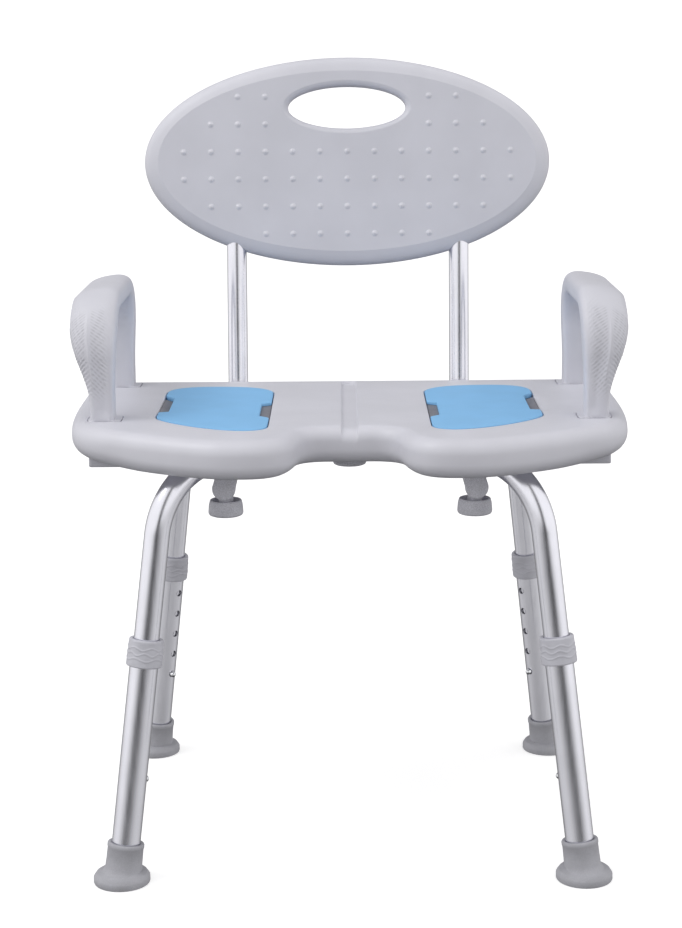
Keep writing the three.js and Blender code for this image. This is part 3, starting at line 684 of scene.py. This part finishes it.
for name, (x, y) in CORNERS.items():
    to_hub = Matrix.Rotation(math.atan2(-y * FOOT_Y, -x * FOOT_X), 4, "Z")
    upright = Matrix.Translation((x * FOOT_X, y * FOOT_Y, 0)) @ to_hub
    leaning = upright @ Matrix.Rotation(LEG_LEAN, 4, "Y")
    leg = f"leg_{name}"
    piece(lower_leg(), f"lower_leg_{name}", leg, tube_finish, leaning,
          tools=hole_tools(f"hole_{name}", leaning))
    # Painted shade: dark sleeves inside the holes stand in for the shade on the holes' walls.
    shadows = piece(hole_shadows(), f"lower_leg_{name}", leg, painted_shade_finish, leaning)
    shadows.name = shadows.data.name = f"lower_leg_{name}_hole_painted_shade"
    piece(collar(), f"collar_{name}", leg, collar_finish, leaning)
    piece(foot(), f"foot_{name}", leg, foot_finish, upright)
    outwards = Matrix.Translation((0, 0, along_leg(BUTTON_Z))) @ Matrix.Rotation(math.pi / 2, 4, "Y")
    piece(button(), f"button_{name}", f"button_{name}", steel_finish, leaning @ outwards)


# ---- back tubes, plugs and knobs -------------------------------------------------------------
def back_tube():
    angle = math.pi / 2 - BACK_LEAN
    bend_y = BACK_CORNER_Y - BACK_BEND_R * math.tan(angle / 2)
    bend = arc(Vector((0, bend_y, BACK_RUN_Z)), Y, Z, BACK_BEND_R, angle, 20, X)
    tangent = bend[-1][1]
    rise = (BACK_TOP_Z - BACK_RUN_Z) / math.cos(BACK_LEAN)
    top = Vector((0, BACK_CORNER_Y, BACK_RUN_Z)) + tangent * rise
    run = [(Vector((0, y, BACK_RUN_Z)), Y, X) for y in (BACK_FRONT_Y, -60, 0, 60)]
    upright = [(bend[-1][0].lerp(top, share), tangent, X) for share in (0.33, 0.66, 1)]
    sections = [ellipse(r, r, 48) for r in (BACK_R, BACK_R - BACK_WALL)]
    return tube(run + bend + upright, lambda i, inner: sections[inner])


def plug(side):
    """End cap of a back tube, with a neck that leans towards the middle and bears on the seat."""
    angles = [lerp(2.75, 2 * math.pi, i / 30) for i in range(31)]
    bowl = [(PLUG_R * math.cos(a), PLUG_R * math.sin(a)) for a in angles]
    neck = [(12.4, 4), (13.2, 8), (13.4, PLUG_TOP), (8, PLUG_TOP), (0, PLUG_TOP), (-9, PLUG_TOP)]
    neck += [(-9.3, 9), (-10, 6.5)]
    outline = anticlockwise([(-side * x, z) for x, z in bowl + neck])
    rings = []
    for inset, depth in ((0, GAP), (0, 4.6), (0.4, 5.4), (1.2, PLUG_FACE - 0.1), (2.4, PLUG_FACE + 0.1)):
        rings.append([Vector((x, -depth, z)) for x, z in offset(outline, inset)])
    shape = Shape().rings(rings)
    shape.fill(rings[0]).fill(rings[-1])
    return shape


def knob(height):
    """A cupped hand knob, whose middle boss bears on the tube at z = 0 and whose rim lies below it."""
    rim, bore_end = -KNOB_DROP, 5 - height
    return lathe([
        (0, -height), (12, -height), (14.9, 0.2 - height), (16.5, 0.9 - height), (17.3, 2.1 - height),
        (KNOB_R, 3.6 - height), (17, rim - 5), (16.3, rim - 2), (15.9, rim - 0.6), (15.3, rim), (14.2, rim),
        (13.7, rim - 0.5), (13.4, rim - 4), (12.8, rim - 5), (BOSS_R + 0.6, rim - 5), (BOSS_R, rim - 4.2),
        (BOSS_R, -1), (BOSS_R - 0.6, -GAP), (KNOB_BORE, -GAP), (KNOB_BORE, bore_end), (0, bore_end),
    ], 72)


CROSSING_Y = BACK_X * math.tan(LEG_AZIMUTH)
for name, x in SIDES.items():
    aside = Matrix.Translation((x * BACK_X, 0, 0))
    piece(back_tube(), f"back_tube_{name}", "frame", tube_finish, aside)
    end = Matrix.Translation((x * BACK_X, BACK_FRONT_Y, BACK_RUN_Z))
    piece(plug(x), f"back_tube_plug_{name}", "frame", plug_finish, end)
for name, (x, y) in CORNERS.items():
    under = Matrix.Translation((x * BACK_X, y * CROSSING_Y, BACK_RUN_Z - BACK_R))
    piece(knob(KNOB_H), f"knob_{name}", f"knob_{name}", plug_finish, under)
under = Matrix.Translation((0, 0, RUN_Z - CRUSH_STEP - CRUSH_HALF_H))
piece(knob(HUB_KNOB_H), "knob_hub", "knob_hub", plug_finish, under)


# ---- seat ------------------------------------------------------------------------------------
def seat_outline():
    w, b = SEAT_HALF_W, SEAT_BACK
    front = [(x, -117) for x in (0, 3, 6, 7, 8, 9, 10, 14, 19)]
    half = front + outline_of(
        (24, -117),
        ((38, -118), (45, -124), (49, -142)),
        ((53, -164), (58, -182), (74, -192)),
        ((88, -200), (104, -200), (126, -198)),
        ((165, -189), (203, -161), (236, -140)),
        ((259, -125), (277, -102), (281, -68)),
        ((285, -38), (w, -5), (w, 60)),
        ((w, b - 46),),
        ((w, b - 18), (w - 18, b), (w - 50, b)),
        ((0, b),),
        pitch=6,
    )
    return half + [(-x, y) for x, y in reversed(half[1:-1])]


def insert_outline(side, notched, grow):
    """The outline of one comfort insert; grow moves it outwards."""
    stretches = [
        ((82, -124), (88, -134), (104, -135)),
        ((132, -134), (172, -100), (188, -78)),
        ((194, -70), (196, -62), (196, -54)),
        ((196, -34),),
    ]
    if notched:
        stretches += [((187, -31),), ((186, -29),), ((186, 51),), ((187, 53),), ((196, 66),)]
    stretches += [
        ((196, 84),),
        ((196, 108), (178, 121), (150, 122)),
        ((126, 123), (96, 122), (84, 98)),
        ((82, 90),),
    ]
    if notched:
        stretches += [((82, 29),), ((83, 27),), ((91, 22.5),), ((92, 21),)]
        stretches += [((92, -49),), ((91, -51),), ((83, -59),)]
    stretches += [((82, -61),), ((82, -104),)]
    points = outline_of((82, -108), *stretches, steps=10)
    return offset(anticlockwise([(side * x, y) for x, y in points]), -grow)


def sink(x, y):
    """How far the seat's top lies below its highest level: a shallow dish and the middle groove."""
    dish = SEAT_DISH * math.exp(-((x / 170) ** 4) - ((y - 5) / 125) ** 4)
    past = max(0, y - (GROOVE_END - GROOVE_HALF_W))
    wall = math.hypot(x, past)
    return dish + GROOVE_DEPTH * (1 - smooth(wall, GROOVE_HALF_W - 2, GROOVE_HALF_W + 0.6))


def seat_top(x, y):
    """The seat's upper surface, with a finger scoop beside each outer notch."""
    window = smooth(y, -31, -23) * (1 - smooth(y, 44, 54))
    scoop = 3.4 * window * (1 - smooth(abs(x), 195, 206)) if abs(x) > 194 else 0
    return SEAT_TOP - sink(x, y) - scoop


def underside(x, y):
    """The seat's lower surface, which rises a little towards its ends."""
    return SEAT_BOTTOM + 3.2 * smooth(abs(x), 200, 268)


def on_top(loop, drop=0):
    return [Vector((x, y, seat_top(x, y) - drop)) for x, y in loop]


def on_underside(loop):
    return [Vector((x, y, underside(x, y))) for x, y in loop]


def armrest_slot(shape, side, y):
    """Adds the walls of a slot for an armrest's post; returns its openings above and below."""
    inner, outer = sorted((side * (ARM_IN - 0.6), side * (ARM_OUT_LOW + 0.9)))
    slot = rounded_box(inner, outer, y - ARM_POST / 2 - 1.2, y + ARM_POST / 2 + 1.2, 2.4)
    rings = [on_top(offset(slot, -inset), drop) for inset, drop in quarter(0.9, 4)]
    shape.rings(rings + [on_underside(slot)])
    return [(p.x, p.y) for p in rings[0]], slot


def insert_pocket(shape, side):
    """Adds the pocket that holds an insert and its tray; returns its opening."""
    pocket = insert_outline(side, False, 1.2)
    floor = SEAT_TOP - INSERT_DEPTH
    rings = [on_top(offset(pocket, -inset), drop) for inset, drop in quarter(0.7, 3)]
    shape.rings(rings + [[Vector((x, y, floor)) for x, y in pocket]])
    shape.sheet(pocket, [], 18, lambda x, y: Vector((x, y, floor)))
    return [(p.x, p.y) for p in rings[0]]


def groove_points():
    """Mesh points that follow the walls of the middle groove and its round end."""
    walls = (3, 6, 7, 8, 9, 10)
    across = [-10, -9, -8, -7, -6, -3, 0, *walls]
    found = [(x, y) for x in across for y in np.arange(-99, 143, 7)]
    for radius in walls:
        for x, y in ellipse(radius, radius, 24)[:13]:
            found.append((x, GROOVE_END - GROOVE_HALF_W + y))
    return found


def seat():
    outline = seat_outline()
    height = SEAT_TOP - SEAT_BOTTOM
    side = quarter(SEAT_EDGE, 9)
    rings = []
    for inset, drop in side:
        share, ring = 1 - drop / height, offset(outline, inset)
        rings.append([Vector((x, y, SEAT_TOP - drop - share * sink(x, y))) for x, y in ring])
    corner = [1 + 0.22 * smooth(abs(x), 190, 250) for x, y in outline]
    for inset, rise in reversed(side):
        ring = offset(outline, [inset * c for c in corner])
        rings.append([Vector((x, y, underside(x, y) + rise * c)) for (x, y), c in zip(ring, corner)])
    shape = Shape().rings(rings)
    top_holes, bottom_holes = [], []
    for x in SIDES.values():
        for y in (ARM_FRONT_Y, ARM_REAR_Y):
            above, below = armrest_slot(shape, x, y)
            top_holes.append(above)
            bottom_holes.append(below)
        top_holes.append(insert_pocket(shape, x))
    shape.sheet(offset(outline, SEAT_EDGE), top_holes, 8, lambda x, y: Vector((x, y, seat_top(x, y))),
                groove_points())
    shape.sheet(offset(outline, [SEAT_EDGE * c for c in corner]), bottom_holes, 20,
                lambda x, y: Vector((x, y, underside(x, y))))
    return shape


def channel_tool(name, turn):
    """A cutter along a leg tube, open below, which ends where the tube has turned down."""
    half, side = leg_half()[4:], UPPER_R + 0.8
    path = half + [(Vector((-c.x, 0, c.z)), Vector((t.x, 0, -t.z)), Y) for c, t, _ in reversed(half)]
    rings = [ring_at(station, ellipse(side, side, 40)) for station in path]
    shape = Shape().rings(rings)
    shape.fill(rings[0]).fill(rings[-1])
    return tool(name, shape, Matrix.Rotation(turn, 4, "Z"))


def trench_tool(name, turn):
    """A cutter under the level run of a leg tube, down through the seat's underside."""
    side, reach = UPPER_R + 0.8, FOOT_REACH - RUN_Z * math.tan(LEG_LEAN) - BEND_R
    outline = [(-side, -21), (side, -21), (side, 0), (-side, 0)]
    rings = [[Vector((x, y, RUN_Z + z)) for y, z in outline] for x in (-reach, reach)]
    shape = Shape().rings(rings)
    shape.fill(rings[0]).fill(rings[1])
    return tool(name, shape, Matrix.Rotation(turn, 4, "Z"))


seat_tools = []
for i, turn in enumerate((LEG_AZIMUTH, -LEG_AZIMUTH)):
    seat_tools += [channel_tool(f"channel_{i}", turn), trench_tool(f"trench_{i}", turn)]
seat_tools.append(tool("hub_recess", rod(CRUSH_LENGTH, 390, RUN_Z + UPPER_R + 1.1, 64)))
piece(seat(), "seat", "frame", seat_finish, tools=seat_tools, sharp=32)


def insert(side):
    bottom = SEAT_TOP - INSERT_DEPTH + TRAY_T + 2 * GAP

    def top(x, y):
        return SEAT_TOP + INSERT_PROUD - (sink(x, y) if abs(x) > 40 else 0)

    rings = [[Vector((x, y, bottom)) for x, y in insert_outline(side, True, 0)]]
    edge = quarter(1.1, 4)
    for inset, drop in reversed(edge):
        rings.append([Vector((x, y, top(x, y) - drop)) for x, y in insert_outline(side, True, -inset)])
    shape = Shape().rings(rings)
    shape.sheet(insert_outline(side, True, 0), [], 14, lambda x, y: Vector((x, y, bottom)))
    shape.sheet(insert_outline(side, True, -edge[0][0]), [], 8, lambda x, y: Vector((x, y, top(x, y))))
    return shape


def tray(side):
    """The plate under an insert, which rises to the seat in the outer finger notch; its dark colour is
    painted shade, standing for the shade in the hollow of the notches.
    """
    bottom = SEAT_TOP - INSERT_DEPTH + GAP

    def top(x, y):
        fade = smooth(y, NOTCH_FRONT, NOTCH_FRONT + 2) * (1 - smooth(y, NOTCH_REAR - 2, NOTCH_REAR + 6))
        return bottom + TRAY_T + NOTCH_RISE * smooth(abs(x), NOTCH_X, 196) * fade

    outline = insert_outline(side, False, 0)
    rings = [[Vector((x, y, bottom)) for x, y in outline], [Vector((x, y, top(x, y))) for x, y in outline]]
    shape = Shape().rings(rings)
    shape.sheet(outline, [], 16, lambda x, y: Vector((x, y, bottom)))
    ramp = [(side * x, y) for x in (186.5, 188.5, 190.5, 192.5, 194.5) for y in range(-32, 62, 3)]
    shape.sheet(outline, [], 12, lambda x, y: Vector((x, y, top(x, y))), ramp)
    return shape


for name, x in SIDES.items():
    # Painted shade: each tray's dark colour stands in for the shade in the hollow of its finger notches.
    piece(tray(x), f"insert_tray_{name}", "frame", painted_shade_finish)
    piece(insert(x), f"insert_{name}", f"insert_{name}", foam_finish)


# ---- armrests --------------------------------------------------------------------------------
def arm_faces(z):
    """Where the armrest's inner and outer faces lie at a height."""
    if z < SEAT_TOP + 0.5:
        return ARM_IN, ARM_OUT_LOW
    waist = ARM_WAIST * (1 - 0.55 * smooth(z, SEAT_TOP + 20, SEAT_TOP + 110))
    outer = lerp(ARM_OUT_LOW - 2.5, ARM_OUT_HIGH, smooth(z, SEAT_TOP + 16, SEAT_TOP + 92))
    return ARM_IN + waist, outer


def arm_path():
    """Stations up the front post, along the handle and down the rear post, close where the grip is."""
    levels = [ARM_BOTTOM, ARM_BOTTOM + 0.8, 403, 415, 430]
    levels += [SEAT_TOP - 5, SEAT_TOP - 2, SEAT_TOP + 0.4, SEAT_TOP + 0.7]
    levels += list(np.arange(SEAT_TOP + 3, 466, 2.5)) + list(np.arange(467, ARM_BEND_Z - 0.4, 0.8))
    foot, top = Vector((0, ARM_FRONT_Y, ARM_BEND_Z)), Vector((0, ARM_REAR_Y - ARM_CORNER_R, ARM_AXIS_Z))
    front = arc(foot, Z, Y, ARM_CORNER_R, math.pi / 2, 68, X)
    rear = arc(top, Y, -Z, ARM_CORNER_R, math.pi / 2, 68, X)
    handle = [(front[-1][0].lerp(rear[0][0], i / 12), Y, X) for i in range(1, 12)]
    rising = [(Vector((0, ARM_FRONT_Y, z)), Z, X) for z in levels]
    falling = [(Vector((0, ARM_REAR_Y, z)), -Z, X) for z in reversed(levels)]
    return rising + front + handle + rear + falling


def arm_section(station):
    """The outline at a station: a rounded post with a flute, a ridge and the grip pattern outside."""
    centre, tangent, _ = station
    level, z = min(1, abs(tangent.y)), centre.z
    inner, outer = arm_faces(z)
    half_x, half_t = (outer - inner) / 2, lerp(ARM_POST, ARM_HANDLE, level) / 2
    above = smooth(z, SEAT_TOP - 7, SEAT_TOP + 1)
    plain = lerp(14, lerp(5.4, 3.2, level), above)
    shoulder = lerp(14, lerp(5.4, 2.5, max(level, smooth(z, SEAT_TOP + 8, SEAT_TOP + 90))), above)
    ends = 0.8 if z < ARM_BOTTOM + 0.5 else 0
    grip = smooth(z, 462, 480) * (1 - smooth(z, 546, 560))
    flute = 1.8 * smooth(z, SEAT_TOP + 2, SEAT_TOP + 12) * (1 - smooth(z, 505, 545))
    ridge = 1.0 * smooth(z, 476, 492) * (1 - smooth(z, 522, 548))
    height = ARM_BEND_Z + ARM_CORNER_R * math.asin(level) if z > ARM_BEND_Z else z
    points = []
    for i in range(ARM_SIDES):
        angle = 2 * math.pi * (i + 0.5) / ARM_SIDES
        c, s = math.cos(angle), math.sin(angle)
        power = shoulder if c > 0 and s > 0 else plain
        r = (abs(c) ** power + abs(s) ** power) ** (-1 / power)
        t, x = c * r * (half_t - ends), s * r * (half_x - ends)
        lift = 0.0
        if above > 0.5:
            face = smooth(c, 0.5, 0.85)
            lift -= flute * face * math.exp(-(((x + 4) / 6) ** 2))
            lift += ridge * face * math.exp(-(((x - 5) / 1.6) ** 2))
            run = x if abs(c) > 0.7 else half_x * math.copysign(1, s) + (half_t - abs(t))
            clear = smooth(abs(x - 1), 5, 8) * (1 - smooth(-x, half_x - 7, half_x - 4))
            facing = max(smooth(c, 0.35, 0.6), smooth(s, 0.2, 0.5) * smooth(c, -0.2, 0.1),
                         0.7 * smooth(-c, 0.6, 0.8) * level)
            dash = -math.sin(2 * math.pi * (height + CHEVRON_SLANT * abs(run)) / CHEVRON_PITCH)
            broken = 0.65 + 0.35 * math.sin(2 * math.pi * (height - 1.1 * abs(run)) / 6.5)
            lift += CHEVRON_LIFT * grip * clear * facing * dash * broken
        push = Vector((c, s)).normalized() * lift
        slope = ARM_SLOPE * level * smooth(c, 0, 0.5) * smooth(x, -half_x * 0.7, half_x)
        points.append((t + push.x - slope, inner + half_x + x + push.y))
    return points


def armrest(side):
    rings = [ring_at(s, arm_section(s)) for s in arm_path()]
    rings = [[Vector((side * p.x, p.y, p.z)) for p in ring] for ring in rings]
    shape = Shape().rings(rings)
    shape.fill(rings[0]).fill(rings[-1])
    return shape


for name, x in SIDES.items():
    piece(armrest(x), f"armrest_{name}", f"armrest_{name}", arm_finish, sharp=60)


# ---- backrest: drawn upright round its own middle, facing -Y -------------------------------------
BAND = ((16, 15), (11, 13.3), (7, 11.6), (3.6, 9), (1.2, 5.2), (0, 0))
HANDHOLE_EDGE = ((6, 15), (4, 14.4), (2.2, 13), (0.9, 10.8), (0.2, 8), (0, 0))
DOT_ROWS = ((3, 4), (3, 5), (0, 6), (0, 6), (0, 5), (0, 3))


def dots():
    """Centres of the raised dots: each row runs over a range of columns, on both sides."""
    found = []
    for row, (first, last) in enumerate(DOT_ROWS):
        for column in range(-last, last + 1):
            if abs(column) >= first:
                found.append((column * DOT_PITCH, DOT_TOP_ROW - row * DOT_PITCH))
    return found


def dome(cx, cz):
    """Rings of a raised dot, from its foot on the backrest's face to its tip."""
    rings = []
    for step in range(7):
        share = 1 - step / 7
        rise = DOT_H * math.cos(math.pi / 2 * share) ** 1.4
        circle = ellipse(DOT_R * share, DOT_R * share, 20)
        rings.append([Vector((cx + x, -BACKREST_HALF_T - rise, cz + z)) for x, z in circle])
    return rings + [[Vector((cx, -BACKREST_HALF_T - DOT_H, cz))] * 20]


def backrest():
    def outer(inset, depth):
        loop = ellipse(BACKREST_HALF_W - inset, BACKREST_HALF_H - inset, 160)
        return [Vector((x, depth, z)) for x, z in loop]

    def grip(inset, depth):
        loop = ellipse(HANDHOLE_HALF_W + inset, HANDHOLE_HALF_H + inset, 96)
        return [Vector((x, depth, z + HANDHOLE_RISE)) for x, z in loop]

    shape = Shape()
    shape.rings([outer(i, -d) for i, d in BAND] + [outer(i, d) for i, d in BAND[-2::-1]])
    shape.rings([grip(i, -d) for i, d in HANDHOLE_EDGE] + [grip(i, d) for i, d in HANDHOLE_EDGE[-2::-1]])
    dot_loops = []
    for cx, cz in dots():
        rings = dome(cx, cz)
        shape.rings(rings)
        dot_loops.append([(p.x, p.z) for p in rings[0]])
    face = [(p.x, p.z) for p in outer(*BAND[0])]
    hole = [(p.x, p.z) for p in grip(*HANDHOLE_EDGE[0])]
    shape.sheet(face, [hole, *dot_loops], 11, lambda x, z: Vector((x, -BACKREST_HALF_T, z)))
    shape.sheet(face, [hole], 22, lambda x, z: Vector((x, BACKREST_HALF_T, z)))
    return shape


def sharpen(obj, normal):
    """Keeps a crisp edge wherever a face square to normal meets another."""
    bm = bmesh.new()
    bm.from_mesh(obj.data)
    for edge in bm.edges:
        flat = [abs(face.normal.dot(normal)) > 0.9999 for face in edge.link_faces]
        if any(flat) and not all(flat):
            edge.smooth = False
    bm.to_mesh(obj.data)
    bm.free()


lean = Matrix.Translation(BACKREST_AT) @ Matrix.Rotation(-BACK_LEAN, 4, "X")
socket_top = (BACK_TOP_Z - BACKREST_AT.z) / math.cos(BACK_LEAN) + GAP
sockets = [tool(f"socket_{name}", rod(BACK_R + GAP, -BACKREST_HALF_H - 10, socket_top, 48),
                lean @ Matrix.Translation((x * BACK_X, 0, 0))) for name, x in SIDES.items()]
sharpen(piece(backrest(), "backrest", "frame", seat_finish, lean, tools=sockets, sharp=34),
        lean.to_3x3() @ Y)


# ---- carried CAD nodes -----------------------------------------------------------------------
for name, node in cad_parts.items():
    if not node.hide_render:
        node.data.materials.clear()
        node.data.materials.append(steel_finish)


# ---- floor, light and camera, in metres --------------------------------------------------------
FLOOR_LEVEL, FLOOR_GLOW = 0.6, 0.62
FRONT_BEARING, FRONT_WIDTHS, FRONT_LEVEL = 0.05, (1.6, 0.32), 0.07
REAR_LEVEL = 0.3
GROUND_LEVEL, WORLD_LEVEL = 0.08, 1.113
CAMERA_AT = HUB + Vector((-6.398, -2114.114, 822.704)) * MM
CAMERA_PITCH, CAMERA_YAW, CAMERA_ROLL = 0.2051, -0.0013, 0.0077
CAMERA_LENS, CAMERA_SENSOR = 79.913, 36


def studio_floor():
    """A round floor whose far edge curves up into a wall."""
    flat, wall, high, sides = 4.0, 7.0, 6.0, 96
    profile = [(0.6, 0), (1.5, 0), (flat, 0)]
    for angle in (math.pi / 24 * i for i in range(1, 13)):
        profile.append((flat + (wall - flat) * math.sin(angle), high * (1 - math.cos(angle))))
    shape = Shape().rings(turned(profile, sides))
    shape.fill(turned(profile[:1], sides)[0])
    bm = shape.bm
    bmesh.ops.remove_doubles(bm, verts=bm.verts, dist=0.001)
    bmesh.ops.recalc_face_normals(bm, faces=bm.faces)
    mesh = bpy.data.meshes.new("studio_floor")
    bm.to_mesh(mesh)
    bm.free()
    mesh.shade_smooth()
    floor = object_of(mesh)
    finish = bpy.data.materials.new("floor_paint")
    finish.use_nodes = True
    shader = finish.node_tree.nodes["Principled BSDF"]
    shader.inputs["Base Color"].default_value = (FLOOR_LEVEL, FLOOR_LEVEL, FLOOR_LEVEL, 1)
    shader.inputs["Roughness"].default_value = 0.9
    shader.inputs["Specular IOR Level"].default_value = 0
    shader.inputs["Emission Color"].default_value = (1, 1, 1, 1)
    shader.inputs["Emission Strength"].default_value = FLOOR_GLOW
    mesh.materials.append(finish)
    floor.visible_diffuse = floor.visible_glossy = floor.visible_shadow = False


def studio_world():
    """A soft tent of light, darker towards the front and below, which the tubes mirror as a dark line."""
    world = bpy.data.worlds.new("studio")
    bpy.context.scene.world = world
    world.use_nodes = True
    tree = world.node_tree
    calc, ramp = arithmetic(tree)
    x, y, z = coordinates(tree, "Generated")
    bearing = calc("ARCTAN2", x, calc("MULTIPLY", y, -1))
    aside = calc("ABSOLUTE", calc("SUBTRACT", bearing, FRONT_BEARING))
    wide = ramp(z, -0.2, 0.15, *FRONT_WIDTHS)
    depth = ramp(z, -0.38, -0.16, 0.9, FRONT_LEVEL)
    front = ramp(calc("DIVIDE", aside, wide), 0.1, 1.0, depth, 1.0)
    behind = calc("SUBTRACT", math.pi, calc("ABSOLUTE", bearing))
    rear = ramp(behind, 0.35, 1.3, REAR_LEVEL, 1.0)
    low_light = calc("MULTIPLY", ramp(z, -0.24, -0.08, 0.66, 1.0), ramp(z, -0.8, -0.35, GROUND_LEVEL, 1.0))
    level = calc("MULTIPLY", calc("MULTIPLY", front, rear), low_light)
    background = tree.nodes["Background"]
    background.inputs["Color"].default_value = (1.0, 0.996, 1.0, 1)
    tree.links.new(calc("MULTIPLY", level, WORLD_LEVEL), background.inputs["Strength"])


def area_light(name, place, size, power):
    data = bpy.data.lights.new(name, "AREA")
    data.shape, data.size, data.energy = "DISK", size, power
    light = bpy.data.objects.new(name, data)
    bpy.context.scene.collection.objects.link(light)
    light.location = place
    light.rotation_euler = (Vector((0, 0, 0.4)) - Vector(place)).to_track_quat("-Z", "Y").to_euler()


def add_camera():
    data = bpy.data.cameras.new("camera")
    data.lens, data.sensor_width = CAMERA_LENS, CAMERA_SENSOR
    data.clip_start, data.clip_end = 0.05, 50
    camera = bpy.data.objects.new("camera", data)
    bpy.context.scene.collection.objects.link(camera)
    aim = Matrix.Rotation(-CAMERA_YAW, 4, "Z") @ Matrix.Rotation(math.pi / 2 - CAMERA_PITCH, 4, "X")
    roll = Matrix.Rotation(-CAMERA_ROLL, 4, "Z")
    camera.matrix_world = Matrix.Translation(CAMERA_AT) @ aim @ roll
    bpy.context.scene.camera = camera


studio_floor()
studio_world()
area_light("key_light", (-1.7, -0.5, 2.8), 1.4, 18)
add_camera()
bpy.context.scene.view_settings.view_transform = "Standard"
bpy.context.scene.view_settings.look = "None"
